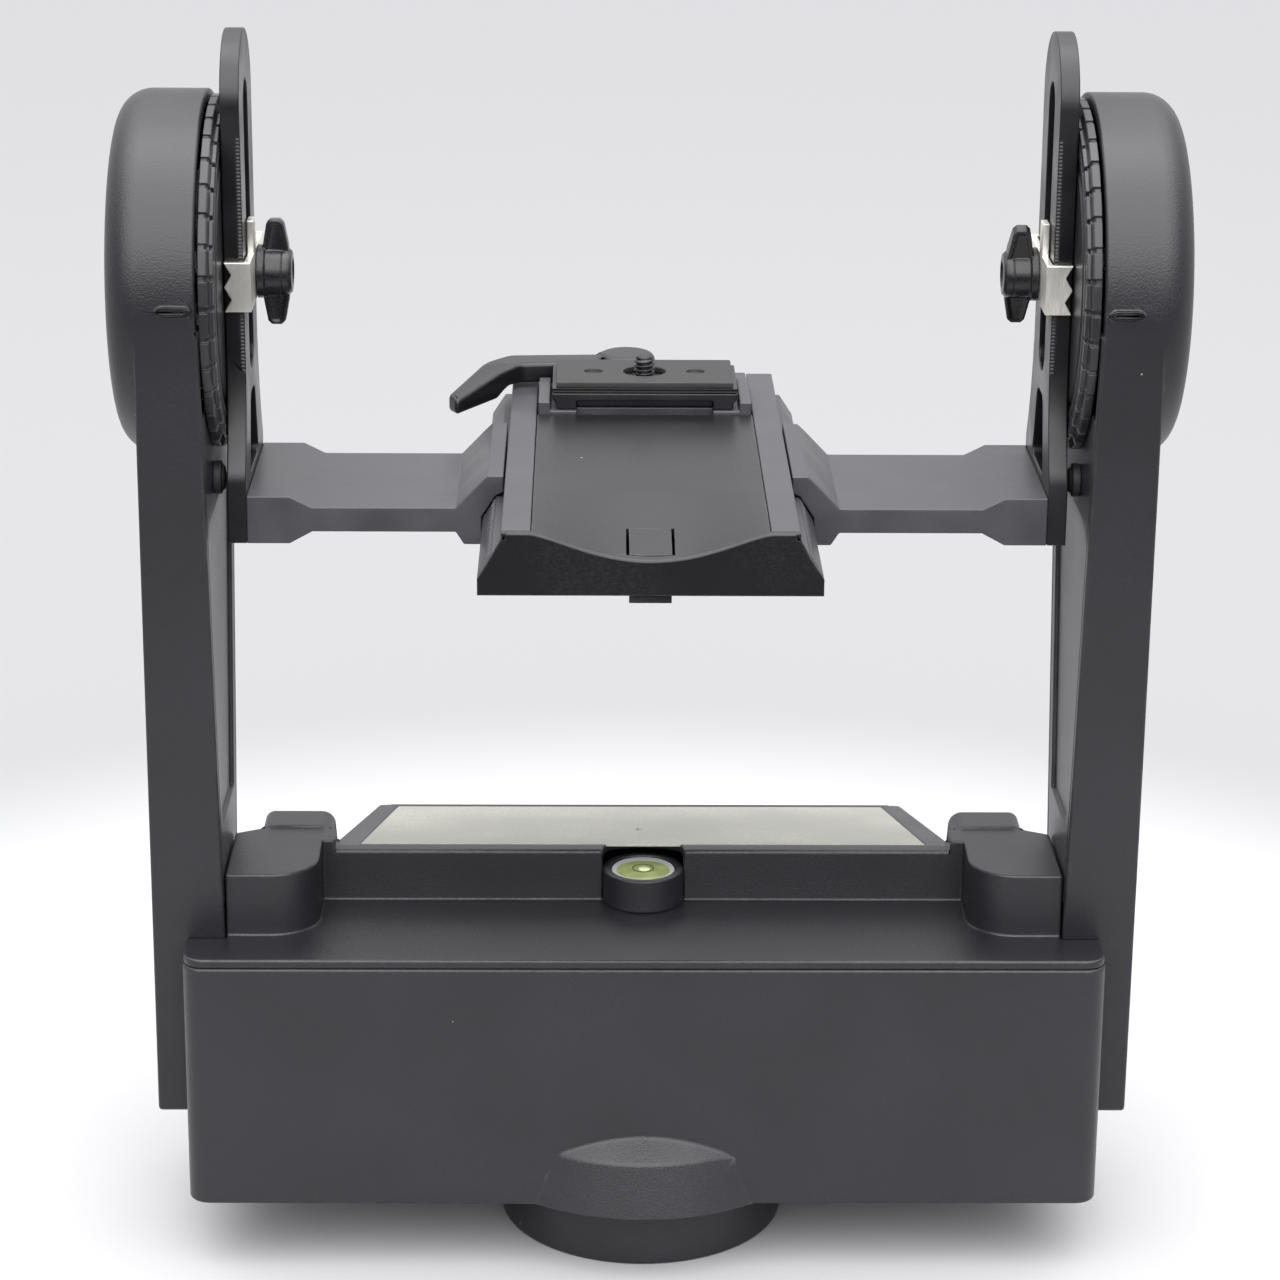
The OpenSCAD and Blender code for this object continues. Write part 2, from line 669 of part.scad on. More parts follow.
// Width of an upright at a height
function width_at(z) = arm_w + (arm_top_w - arm_w) * (z - arm_bottom) / (tilt_z - arm_bottom);
function to_drum(a, side, inset) = [0, tilt_z] + (arm_head_r - inset) * side * [sin(a), -cos(a)];
module arm_outline(inset) {
    z = arm_bottom + inset;
    polygon(rounded([[front_y(z, inset), z], [back_y(z, inset), z],
        to_drum(back_a, 1, inset), [0, tilt_z], to_drum(front_a, -1, inset)], [2, 2, 0, 0, 0], 4));
}
// The upright's body, narrower towards the top
module arm_body(inset) {
    intersection() {
        along_x(arm_in - inset, arm_w + inset) arm_outline(inset);
        along_y(-drum_r, 2 * drum_r)
            polygon([[0, arm_bottom], [arm_in + width_at(arm_bottom) - inset, arm_bottom],
            [arm_in + width_at(tilt_z) - inset, tilt_z], [0, tilt_z]]);
    }
}
arm_wall = 3;
cover_recess = 2.4;
boss_r = 15;
bearing_out_r = 12;
bearing_w = 4;
tilt_teeth = 54;
tilt_centres = gear_m * (tilt_teeth + pinion_teeth) / 2 + pinion_gap;
tilt_gear_x = arm_in + 3.5;
tilt_gear_w = 4;
motor_x = tilt_gear_x + tilt_gear_w + 2;
cavity_end = drum_out - 3.5;
pointer_l = 9;
pointer_h = 2;
pointer_tip = 2.2;
pointer_line = 0.45;
socket_low = 60;
socket_high = 80;
module at_axis() { translate([0, 0, tilt_z]) children(); }
// Outline of the pointer, tip towards the dial
module pointer_outline(inset) {
    h = pointer_h / 2 - inset;
    x0 = drum_in + 0.9;
    polygon([[x0 + inset * 1.6, 0], [x0 + pointer_tip + inset / 2, h], [x0 + pointer_l - inset, h],
        [x0 + pointer_l - inset, -h], [x0 + pointer_tip + inset / 2, -h]]);
}
module upright() {
    difference() {
        union() {
            arm_body(0);
            // The drum, with its rounded outer edge
            at_axis() rotate([0, 90, 0]) rotate_extrude()
                polygon(rounded([[0, drum_in], [drum_r, drum_in], [drum_r, drum_out], [0, drum_out]],
                    [0, 0.8, drum_edge_r, 0], 10));
            // Raised pointer that reads against the dial
            at_axis() along_y(-drum_r - pointer_line, 1) difference() {
                pointer_outline(0);
                pointer_outline(pointer_line);
            }
        }
        // Hollow of the arm, solid where the bolts from the base end
        difference() {
            arm_body(arm_wall);
            block([arm_in, -drum_r, socket_low], [arm_in + arm_w, drum_r, socket_high]);
        }
        bolt_places() cylinder(h = 16, r = 2, $fn = 32);
        // Hollow of the drum
        at_axis() rod_x(drum_in - 1, cavity_end, drum_r - 3.5);
    }
    // Boss that holds the bearings
    at_axis() difference() {
        rod_x(motor_x + 1, cavity_end + eps, boss_r);
        rod_x(motor_x, cavity_end - 2, bearing_out_r);
    }
}
module upright_right() { color(charcoal) upright(); }
module upright_left() { color(charcoal) mirror([1, 0, 0]) upright(); }
cover_low = deck_z + 10;
cover_high = tilt_z - drum_r * 0.62;
channel_low = deck_z + 32;
channel_high = channel_low + 92;
channel_edge = 5.5;
module band(z0, z1) { translate([-drum_r, z0]) square([2 * drum_r, z1 - z0]); }
module arm_cover() {
    difference() {
        along_x(arm_in, cover_recess) intersection() {
            arm_outline(arm_wall + 0.15);
            band(cover_low, cover_high);
        }
        at_axis() rod_x(arm_in - 1, arm_in + 10, drum_r - 3);
        // Long shallow channel down the middle of the cover
        along_x(arm_in - 1, 1 + 1.2) intersection() {
            arm_outline(arm_wall + channel_edge);
            band(channel_low, channel_high);
        }
    }
}
module arm_cover_right() { color(graphite) arm_cover(); }
module arm_cover_left() { color(graphite) mirror([1, 0, 0]) arm_cover(); }
bumper_y = -18;
bumper_z = tilt_z - drum_r - 4;
module arm_bumpers() {
    color(black) both_sides() translate([arm_in, bumper_y, bumper_z]) rotate([0, -90, 0]) {
        cylinder(h = 2.4, r = 4.6, $fn = 48);
        translate([0, 0, 2.4 - eps]) cylinder(h = 0.8, r = 3.4, $fn = 48);
    }
}
bolt_z = [66, 74];
bolt_y = (front_y(70, 0) + back_y(70, 0)) / 2;
module bolt_places() { for (z = bolt_z) translate([arm_in - wall, bolt_y, z]) rotate([0, 90, 0])
    children(); }
module arm_bolts() {
    color(steel) both_sides() bolt_places() mirror([0, 0, 1])
        difference() {
            union() {
                cylinder(h = 3, r = 3.4, $fn = 32);
                translate([0, 0, -wall - 10]) cylinder(h = wall + 10, r = 2 - fit, $fn = 32);
            }
            translate([0, 0, 1.2]) cylinder(h = 3, r = 1.7, $fn = 6);
        }
}
module tilt_bearings() {
    color(steel) both_sides() at_axis() for (x = [motor_x + 1, cavity_end - 2 - bearing_w]) difference() {
        rod_x(x, x + bearing_w, bearing_out_r);
        rod_x(x - 1, x + bearing_w + 1, shaft_r + fit);
    }
}
module tilt_motor() {
    color(graphite) mirror([1, 0, 0]) translate([0, 0, tilt_z - tilt_centres]) {
        rod_x(motor_x, cavity_end, 9.5);
        rod_x(tilt_gear_x + 0.5, motor_x + eps, 1.5);
    }
}
module tilt_pinion() {
    color("#c8b070") mirror([1, 0, 0]) translate([tilt_gear_x - 0.5, 0, tilt_z - tilt_centres])
        rotate([0, 90, 0]) difference() {
        rotate(180 / pinion_teeth) linear_extrude(tilt_gear_w + 1) gear_outline(pinion_teeth, 0);
        translate([0, 0, -eps]) cylinder(h = tilt_gear_w + 2, r = 1.5 + fit, $fn = 32);
    }
}
cable_w = 8;
cable_t = 0.8;
cable_low = socket_high + 4;
cable_high = tilt_z - tilt_centres - 11;
module ribbon_cable() {
    x = arm_in + width_at(cable_high) - arm_wall - gap;
    y = front_y(cable_low, arm_wall) + 3;
    color("#8a4a3a") mirror([1, 0, 0]) block([x - cable_t, y, cable_low], [x, y + cable_w, cable_high]);
}

// ---------------------------------------------------------------- tilting parts
dial_in = arm_in - gap - dial_t;
pad_h = 0.7;
module dial() {
    body_r = dial_r - pad_h;
    at_axis() difference() {
        union() {
            rod_x(dial_in + 1.5, dial_in + dial_t, body_r);
            rod_x(dial_in, dial_in + 1.6, body_r - 2.2);
            // Raised pads between the division lines, on the rim
            for (i = [0 : dial_marks - 1]) rotate([(i + 0.5) * 360 / dial_marks, 0, 0])
                block([dial_in + 1.9, -2 * PI * body_r / dial_marks * 0.42, body_r - 1.5],
                    [dial_in + dial_t, 2 * PI * body_r / dial_marks * 0.42, dial_r]);
        }
        rod_x(dial_in - 1, dial_in + dial_t + 1, shaft_r);
        // Shallow ring groove on the inner face
        difference() {
            rod_x(dial_in - 1, dial_in + 0.6, body_r - 8);
            rod_x(dial_in - 2, dial_in + 1, body_r - 11);
        }
    }
}
module dial_right() { color(black) dial(); }
module dial_left() { color(black) mirror([1, 0, 0]) dial(); }
shaft_end = cavity_end - 2.5;
bracket_plate_t = 1.8;
knob_face = plate_in - gap - bracket_plate_t - gap;
stud_tip = knob_face - 8;
module tilt_shaft() {
    at_axis() {
        rod_x(dial_in, shaft_end, shaft_r);
        rod_x(stud_tip, dial_in + eps, stud_r);
        // Square-shouldered collar that slides in the slot
        rod_x(plate_in + 0.1, dial_in + eps, slot_w / 2 - gap);
    }
}
module tilt_shaft_right() { color(steel) tilt_shaft(); }
module tilt_shaft_left() { color(steel) mirror([1, 0, 0]) tilt_shaft(); }
module tilt_gear() {
    color(steel) mirror([1, 0, 0]) translate([tilt_gear_x, 0, tilt_z]) rotate([0, 90, 0]) difference() {
        linear_extrude(tilt_gear_w) gear_outline(tilt_teeth, shaft_r);
        for (i = [0 : 5]) rotate(i * 60) translate([17, 0, -1])
            cylinder(h = tilt_gear_w + 2, r = 4.5, $fn = 40);
    }
}
tab_h = 13.5;
tab_t = 2;
tab_reach = dial_in - 0.4;
function tab_outline() = let (h = tab_h / 2, x0 = knob_face + gap, x1 = tab_reach)
    [[x0, -h], [x1, -h], [x1 - 1.9, -h / 2], [x1, 0], [x1 - 1.9, h / 2], [x1, h], [x0, h]];
module clamp_bracket() {
    color(silver) at_axis() difference() {
        union() {
            block([knob_face + gap, -plate_w / 2 - gap - tab_t, -tab_h / 2],
                [knob_face + gap + bracket_plate_t, plate_w / 2 + gap + tab_t, tab_h / 2]);
            for (s = [0, 1]) mirror([0, s, 0]) along_y(plate_w / 2 + gap, tab_t) polygon(tab_outline());
            // Upper leg along the slotted plate
            block([knob_face + gap, -9, tab_h / 2 - eps],
                [knob_face + gap + bracket_plate_t, -3, tab_h / 2 + 9]);
        }
        rod_x(knob_face, knob_face + 5, stud_r);
    }
}
module clamp_bracket_right() { clamp_bracket(); }
module clamp_bracket_left() { mirror([1, 0, 0]) clamp_bracket(); }

hub_r = 6.4;
hub_l = 9.5;
wing_r = 14.6;
wing_t = 6;
module knob(turn) {
    color(black) at_axis() rotate([turn, 0, 0]) difference() {
        union() {
            rod_x(knob_face - hub_l, knob_face, hub_r);
            rod_x(knob_face - 2.2, knob_face, hub_r + 1);
            for (s = [0, 1]) mirror([0, 0, s]) along_y(-wing_t / 2, wing_t) polygon(rounded([
                [knob_face - 1.2, 2], [knob_face - 1.6, hub_r + 1], [knob_face - 2.6, wing_r],
                    [knob_face - 7.2, wing_r],
                [knob_face - 8.6, hub_r + 1], [knob_face - 9, 2]], [0, 1.5, 1.6, 1.6, 1.5, 0], 4));
        }
        rod_x(stud_tip - 0.4, knob_face + 1, stud_r + fit);
    }
}
module knob_right() { knob(18); }
module knob_left() { mirror([1, 0, 0]) knob(0); }

// ---------------------------------------------------------------- cradle
bar_half = bar_d / 2;
foot_z = 229;
flare_z = 262;
top_c = plate_top - plate_w / 2;
rack_step = 0.5;
rack_depth = 0.6;
rack_low = 258;
rack_high = 322;
function rack_points(s) = let (n = floor((rack_high - rack_low) / rack_step), y = plate_w / 2) concat(
    [[s * (y + 1), rack_low]],
    [for (i = [0 : n]) [s * (y - (i % 2 == 0 ? 0 : rack_depth)), rack_low + i * rack_step]],
    [[s * (y + 1), rack_high]]);
module side_plate() {
    flare_r = 42;
    difference() {
        along_x(plate_in, plate_t) difference() {
            union() {
                polygon(mirrored(concat([[bar_half, bar_low], [bar_half, foot_z]],
                    [for (i = [1 : 8]) let (t = i / 8)
                        [plate_w / 2 + (bar_half - plate_w / 2) * pow(1 - t, 2),
                        foot_z + (flare_z - foot_z) * t]],
                    [[plate_w / 2, top_c]])));
                translate([0, top_c]) circle(r = plate_w / 2);
            }
            // Slot for the clamping stud
            translate([-slot_w / 2, slot_low + slot_w / 2])
                square([slot_w, slot_high - slot_low - slot_w]);
            for (z = [slot_low + slot_w / 2, slot_high - slot_w / 2]) translate([0, z])
                circle(r = slot_w / 2);
            // Window in the flared foot
            polygon(rounded([[-12.5, foot_z - 1.5], [12.5, foot_z - 1.5], [6.5, slot_low - 6],
                [-6.5, slot_low - 6]], [2, 2, 4, 4], 4));
        }
        // Fine rack along the inner edges
        for (s = [-1, 1]) along_x(plate_in - 1, 1 + 1.3) polygon(rack_points(s));
        for (y = [-16, 16]) translate([plate_in, y, (bar_low + bar_high) / 2]) rotate([0, 90, 0]) {
            translate([0, 0, -1]) cylinder(h = plate_t + 2, r = 2.1, $fn = 32);
            translate([0, 0, plate_t - 2.6]) cylinder(h = 4, r = 4, $fn = 32);
        }
    }
}
module side_plate_right() { color(black) side_plate(); }
module side_plate_left() { color(black) mirror([1, 0, 0]) side_plate(); }

slide_gap = 0.35;
thin_top = 222.4;
thin_low = 215.5;
tray_shoulder = tray_low + 4.4;
bevel_top = tray_shoulder + 5.9;
tray_half = tray_w / 2;
bevel_in = 41;
rail_half = rail_w / 2;
module crossbar() {
    color(graphite) difference() {
        along_y(-bar_half, bar_d) polygon(mirrored([
            [0, bar_low - 0.1], [50, bar_low - 0.1], [52.2, thin_low], [91.2, thin_low],
                [97.4, bar_low], [plate_in, bar_low],
            [plate_in, bar_high], [97.2, bar_high], [91.2, thin_top], [52.2, thin_top],
                [45.4, trough_z - 1.9],
            [43.4, trough_z], [rail_half + slide_gap + 0.2, trough_z],
                [rail_half + slide_gap + 0.2, bevel_top + 1.2],
            [bevel_in + slide_gap, bevel_top + 0.2], [tray_half + slide_gap, tray_shoulder + 0.2],
                [tray_half + slide_gap, tray_low - gap],
            [0, tray_low - gap]]));
        both_sides() for (y = [-16, 16]) translate([plate_in - 11, y, (bar_low + bar_high) / 2])
            rotate([0, 90, 0])
            cylinder(h = 12, r = 2, $fn = 32);
    }
}
module crossbar_screws() {
    color(steel) both_sides() for (y = [-16, 16])
        translate([plate_in + plate_t - 2.6, y, (bar_low + bar_high) / 2]) rotate([0, 90, 0])
        difference() {
            union() {
                cylinder(h = 2.3, r = 3.7, $fn = 32);
                translate([0, 0, -12.5]) cylinder(h = 12.5 + eps, r = 2 - fit, $fn = 32);
            }
            translate([0, 0, 1]) cylinder(h = 2, r = 1.7, $fn = 6);
        }
}

// ---------------------------------------------------------------- camera tray
tray_half_l = tray_l / 2;
cap_t = 2.4;
skin = 2.2;
rail_half_in = rail_gap / 2;
notch_in = 37.4;
rail_low = bevel_top + 4;
floor_z = tray_low + 3;
module tray_frame() {
    color(graphite) difference() {
        tray_rails();
        // Opening for the latch's leg
        block([-latch_half, -tray_half_l, tray_low - 1],
            [latch_half, leg_y + leg_t + latch_cut, floor_z + 1]);
    }
}
module tray_rails() {
    along_y(-tray_half_l + cap_t, tray_l - cap_t) polygon(mirrored([
        [0, tray_low], [tray_half, tray_low], [tray_half, tray_shoulder], [bevel_in, bevel_top],
            [notch_in - 1, bevel_top],
        [notch_in - 1, rail_low], [rail_half, rail_low + 0.6], [rail_half, tray_top],
            [rail_half_in, tray_top],
        [rail_half_in, floor_z], [0, floor_z]]));
}
scoop_depth = 7.4;
scoop_half = 26;
scoop_r = (scoop_half * scoop_half + scoop_depth * scoop_depth) / (2 * scoop_depth);
scoop_l = 42;
screw_y = tray_half_l - screw_back;
clamp_front = screw_y - plate_qr_d / 2 - 1.4;
clamp_half_w = rail_half_in - 0.4;
module tray_moulding() {
    front = -tray_half_l;
    difference() {
        union() {
            // Front cap
            along_y(front, cap_t) polygon(mirrored([
                [0, tray_low], [tray_half, tray_low], [tray_half, tray_shoulder],
                    [bevel_in, bevel_top], [notch_in, bevel_top],
                [notch_in, rail_low], [rail_half, rail_low + 0.6], [rail_half, tray_top],
                    [0, tray_top]]));
            // Cover between the rails
            block([-rail_half_in + 0.2, front + cap_t - eps, tray_top - skin - scoop_depth],
                [rail_half_in - 0.2, front + scoop_l, tray_top]);
            block([-rail_half_in + 0.2, front + scoop_l - eps, tray_top - skin],
                [rail_half_in - 0.2, clamp_front - 0.3, tray_top]);
            // Ribs that stand on the tray's floor
            for (x = [-rail_half_in + 1.2, rail_half_in - 1.2])
                block([x - 1, front + cap_t, floor_z], [x + 1, clamp_front - 0.3, tray_top - 1]);
        }
        // Thumb scoop, deepest at the front lip
        translate([0, front - 0.2, tray_top - scoop_depth + scoop_r])
            rotate([-90 + atan2(scoop_depth, scoop_l), 0, 0])
            translate([0, 0, -10]) cylinder(h = scoop_l + 30, r = scoop_r, $fn = 144);
    }
}
// The latch is a flap cut out of the cover's top, with a leg down behind the front cap
latch_half = 6.3;
latch_l = 17.7;
latch_cut = 0.5;
leg_t = 1.6;
leg_y = cap_t + latch_cut - tray_half_l;
leg_low = tray_low - 3;
flap_low = tray_top - skin - scoop_depth;
module tray_cover() {
    color(black) difference() {
        tray_moulding();
        block([-latch_half, cap_t - tray_half_l, tray_low - 1],
            [latch_half, latch_l - tray_half_l, tray_top + 1]);
    }
}
module tray_latch() {
    half = latch_half - latch_cut;
    color(black) {
        intersection() {
            tray_moulding();
            block([-half, leg_y, flap_low - 1], [half, latch_l - gap - tray_half_l, tray_top]);
        }
        block([-half, leg_y, leg_low], [half, leg_y + leg_t, flap_low + eps]);
    }
}
clamp_notch = 19.6;
module clamp_base() {
    base_z = floor_z;
    seat = tray_top + 1;
    back = lever_y + 7;
    color(graphite) difference() {
        union() {
            block([-clamp_half_w, clamp_front, base_z], [clamp_half_w, back, seat]);
            for (s = [-1, 1]) block([min(s * clamp_half_w, s * (plate_qr_w / 2 + 0.4)), clamp_front,
                seat - eps],
                [max(s * clamp_half_w, s * (plate_qr_w / 2 + 0.4)), screw_y + plate_qr_d / 2 - 1,
                    seat + 2.6]);
        }
        block([-clamp_notch, clamp_front - 1, base_z + 6], [clamp_notch, clamp_front + 4, seat + 3]);
        translate([0, screw_y, base_z + 3]) cylinder(h = 30, r = 9, $fn = 64);
        translate([lever_x, lever_y, seat - 7]) cylinder(h = 20, r = 2 + fit, $fn = 48);
    }
}
plate_z = tray_top + 1 + 0.05;
plate_h2 = 6.2;
pad_top = tray_top + 9;
plate_step = 2.5;
plate_strip = 2.2;
module release_plate() {
    w = plate_qr_w / 2;
    color(steel) difference() {
        along_y(screw_y - plate_qr_d / 2, plate_qr_d)
            polygon(mirrored([[0, plate_z], [w - 1.4, plate_z], [w - 1.4, plate_z + 1.6],
            [w - 0.2, plate_z + 3.2], [w - 0.2, plate_z + plate_h2], [0, plate_z + plate_h2]]));
        translate([0, screw_y, plate_z - 1]) cylinder(h = 20, r = neck_r + fit, $fn = 48);
        // Step under the front edge, and a groove along it
        block([-clamp_notch, screw_y - plate_qr_d / 2 - 1, plate_z - 1],
            [clamp_notch, screw_y - plate_qr_d / 2 + 3, plate_z + plate_step]);
        block([-w, screw_y - plate_qr_d / 2 - 1, plate_z + plate_step + plate_strip],
            [w, screw_y - plate_qr_d / 2 + 1.2, plate_z + plate_h2 - 0.4]);
        translate([0, screw_y, plate_z - 1]) cylinder(h = 1 + 3, r = 7.6, $fn = 64);
    }
}
hole_x = 14.8;
hole_r = 2.7;
recess_r = 6.2;
module plate_pad() {
    w = plate_qr_w / 2 - 1.4;
    color("#787674") difference() {
        block([-w, screw_y - plate_qr_d / 2 + 0.6, plate_z + plate_h2],
            [w, screw_y + plate_qr_d / 2 - 0.6, pad_top]);
        translate([0, screw_y, plate_z]) cylinder(h = 20, r = recess_r, $fn = 64);
        for (s = [-1, 1]) translate([s * hole_x, screw_y, pad_top - 1.2])
            cylinder(h = 4, r = hole_r, $fn = 48);
    }
}
neck_r = screw_r - 0.6;
thread_z = plate_z + plate_h2 + 0.35;
// The neck below the thread keeps the screw in its plate
module camera_screw() {
    head_z = plate_z + 0.3;
    color(steel) translate([0, screw_y, 0]) difference() {
        union() {
            translate([0, 0, head_z]) cylinder(h = 2.5, r = 7.2, $fn = 64);
            translate([0, 0, head_z]) cylinder(h = thread_z - head_z + eps, r = neck_r, $fn = 48);
            translate([0, 0, thread_z])
                cylinder(h = pad_top + screw_stand - thread_z, r = screw_r, $fn = 48);
        }
        block([-7.5, -0.8, head_z - 1], [7.5, 0.8, head_z + 1.2]);
    }
}
lever_x = -5;
lever_y = screw_y + 23;
lever_z = tray_top + 1 + gap;
lever_h = 6;
lever_hub_r = 10.5;
lever_bend = [-41, lever_y - 6];
lever_tip = [-54.5, lever_y - 33];
lever_low = tray_top - 1.5;
lever_top = lever_z + lever_h;
lever_fall = 4.8;
module clamp_lever() {
    color(black) {
        translate([lever_x, lever_y, lever_z]) rotate_extrude() polygon(rounded(
            [[0, 0], [lever_hub_r - 2, 0], [lever_hub_r - 2, lever_h + 1.6], [0, lever_h + 1.6]],
            [0, 0.5, 2.4, 0], 5));
        // Arm and pointed blade in one, the blade falling away towards its tip
        intersection() {
            translate([0, 0, lever_low]) linear_extrude(lever_top - lever_low) polygon(rounded([
                [lever_x, lever_y + 5], [lever_bend.x + 1, lever_bend.y + 9],
                    [lever_bend.x - 4.5, lever_bend.y + 2],
                [lever_tip.x - 2, lever_tip.y + 3], [lever_tip.x + 0.5, lever_tip.y - 2],
                [lever_bend.x - 1, lever_bend.y - 9], [lever_bend.x + 5, lever_bend.y - 2],
                [lever_x, lever_y - 5]], [0, 5, 6, 1, 1, 4, 4, 0], 6));
            along_x(lever_tip.x - 6, lever_x - lever_tip.x + 7) polygon([[lever_y + 8, lever_z],
                [lever_y + 8, lever_top], [lever_bend.y - 3, lever_top],
                [lever_tip.y - 4, lever_top - lever_fall], [lever_tip.y - 4, lever_low],
                [lever_bend.y - 9.5, lever_low], [lever_bend.y - 6, lever_z]]);
        }
    }
    color(steel) translate([lever_x, lever_y, lever_z - 6]) cylinder(h = 6 + eps, r = 2, $fn = 48);
}

base_ring();
mount_plate();
thread_insert();
pan_gear();
gear_screws();
base_shell();
top_cover();
faceplate();
rear_bezel();
display_window();
display_module();
level_housing();
level_vial();
control_board();
pan_bearing();
pan_motor();
pan_bracket();
pan_pinion();
dc_jack();
trigger_jack();
battery_pack();
power_button();
key_up();
key_down();
key_left();
key_right();
key_enter();
upright_left();
upright_right();
arm_cover_left();
arm_cover_right();
arm_bumpers();
arm_bolts();
shell_screws();
tilt_bearings();
tilt_motor();
ribbon_cable();
dial_left();
dial_right();
tilt_shaft_left();
tilt_shaft_right();
tilt_gear();
clamp_bracket_left();
clamp_bracket_right();
tilt_pinion();
knob_left();
knob_right();
side_plate_left();
side_plate_right();
crossbar();
crossbar_screws();
tray_frame();
tray_cover();
tray_latch();
clamp_base();
release_plate();
plate_pad();
camera_screw();
clamp_lever();
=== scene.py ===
import math

import bmesh
import bpy
from mathutils import Matrix, Vector
from mathutils.bvhtree import BVHTree


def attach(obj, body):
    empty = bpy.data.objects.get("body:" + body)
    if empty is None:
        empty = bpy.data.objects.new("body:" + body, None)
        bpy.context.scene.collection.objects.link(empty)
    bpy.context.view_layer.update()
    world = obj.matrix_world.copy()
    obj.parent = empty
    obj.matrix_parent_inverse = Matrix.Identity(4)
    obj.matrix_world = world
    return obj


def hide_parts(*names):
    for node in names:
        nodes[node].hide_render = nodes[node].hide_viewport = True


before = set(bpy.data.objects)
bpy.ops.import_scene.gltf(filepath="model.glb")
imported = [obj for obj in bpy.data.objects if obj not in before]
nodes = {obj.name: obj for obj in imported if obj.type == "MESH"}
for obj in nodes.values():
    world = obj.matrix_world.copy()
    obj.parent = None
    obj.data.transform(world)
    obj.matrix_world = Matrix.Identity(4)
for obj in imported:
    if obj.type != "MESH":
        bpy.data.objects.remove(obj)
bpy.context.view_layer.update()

MM = 0.001

# ---------------------------------------------------------------- studio
# A pale table under a tall soft box, as in a product photograph.
# The camera stands a metre in front, a little left of the middle, and looks
# down at the deck of the base.
lens_px, frame_px, sensor_mm = 3714.48, 1280, 36.0
eye = Vector((-16.008, -997.453, 504.473)) * MM
pitch, yaw, roll = (math.radians(a) for a in (18.251, 0.8367, 0.4133))
ahead = Vector((math.sin(yaw) * math.cos(pitch), math.cos(yaw) * math.cos(pitch), -math.sin(pitch)))
level_right = Vector((math.cos(yaw), -math.sin(yaw), 0))
below = ahead.cross(level_right)
right = level_right * math.cos(roll) - below * math.sin(roll)
down = level_right * math.sin(roll) + below * math.cos(roll)
camera = bpy.data.objects.new("camera", bpy.data.cameras.new("camera"))
bpy.context.scene.collection.objects.link(camera)
camera.data.sensor_width = sensor_mm
camera.data.lens = lens_px / frame_px * sensor_mm
camera.matrix_world = Matrix.Translation(eye) @ Matrix((right, -down, -ahead)).transposed().to_4x4()
bpy.context.scene.camera = camera
bpy.context.scene.view_settings.view_transform = "Standard"


def linear(red, green, blue, alpha=1.0):
    """A colour as picture editors write it, 0 to 255, turned into light."""
    def one(c):
        c /= 255
        return c / 12.92 if c <= 0.04045 else ((c + 0.055) / 1.055) ** 2.4

    return one(red), one(green), one(blue), alpha


def put(tree, kind, sockets=None, **settings):
    """Adds a shader node; a socket is given a value or another node's output."""
    node = tree.nodes.new(kind)
    for key, value in settings.items():
        setattr(node, key, value)
    for key, value in (sockets or {}).items():
        if isinstance(value, bpy.types.NodeSocket):
            tree.links.new(value, node.inputs[key])
        else:
            node.inputs[key].default_value = value
    return node


def blank(name):
    """A new material, and its node tree with nothing in it."""
    finish = bpy.data.materials.new(name)
    finish.use_nodes = True
    finish.node_tree.nodes.clear()
    return finish, finish.node_tree


def ramp(tree, value, low, high, to_low=0.0, to_high=1.0):
    """A smooth step of a value between two limits."""
    limits = {"Value": value, "From Min": low, "From Max": high, "To Min": to_low, "To Max": to_high}
    return put(tree, "ShaderNodeMapRange", limits, interpolation_type="SMOOTHSTEP").outputs["Result"]


def sums(tree, rule, *terms):
    """One step of arithmetic between values in a node tree."""
    return put(tree, "ShaderNodeMath", dict(enumerate(terms)), operation=rule).outputs[0]


def blend(tree, share, first, second):
    """A colour between two others."""
    return put(tree, "ShaderNodeMix", {"Factor": share, "A": first, "B": second},
               data_type="RGBA").outputs["Result"]


table_finish, tree = blank("table_top")
where = put(tree, "ShaderNodeTexCoord").outputs["Object"]
away = put(tree, "ShaderNodeVectorMath", {0: where}, operation="LENGTH").outputs["Value"]
# Painted light: the table's colour is lighter near the head and greyer further off, a painted pool of light
# round the head
near = blend(tree, ramp(tree, away, 0.28, 0.46), linear(166, 166, 167), linear(137, 137, 138))
tone = blend(tree, ramp(tree, away, 0.7, 2.2), near, linear(135, 135, 136))
# Painted shade: in front of the head the table is coloured dark for every ray but the camera's, a painted
# dark room that only reflections and bounced light see
ahead_of = put(tree, "ShaderNodeSeparateXYZ", {0: where}).outputs["Y"]
unseen = sums(tree, "SUBTRACT", 1.0, put(tree, "ShaderNodeLightPath").outputs["Is Camera Ray"])
ends = sums(tree, "MULTIPLY", ramp(tree, ahead_of, -0.42, -0.72), unseen)
tone = blend(tree, ends, tone, linear(40, 40, 42))
weave = put(tree, "ShaderNodeTexNoise", {"Vector": where, "Scale": 900.0, "Detail": 3.0}).outputs[0]
relief = put(tree, "ShaderNodeBump", {"Strength": 0.02, "Distance": 0.0001, "Height": weave}).outputs[0]
skin = put(tree, "ShaderNodeBsdfDiffuse", {"Color": tone, "Normal": relief})
put(tree, "ShaderNodeOutputMaterial", {"Surface": skin.outputs[0]})
table = bpy.data.meshes.new("table_top")
table.from_pydata([(-9, -9, 0), (9, -9, 0), (9, 9, 0), (-9, 9, 0)], [], [(0, 1, 2, 3)])
table.materials.append(table_finish)
table = bpy.data.objects.new("table_top", table)
bpy.context.scene.collection.objects.link(table)

world = bpy.data.worlds.new("studio")
bpy.context.scene.world = world
world.use_nodes = True
tree = world.node_tree
tree.nodes.clear()
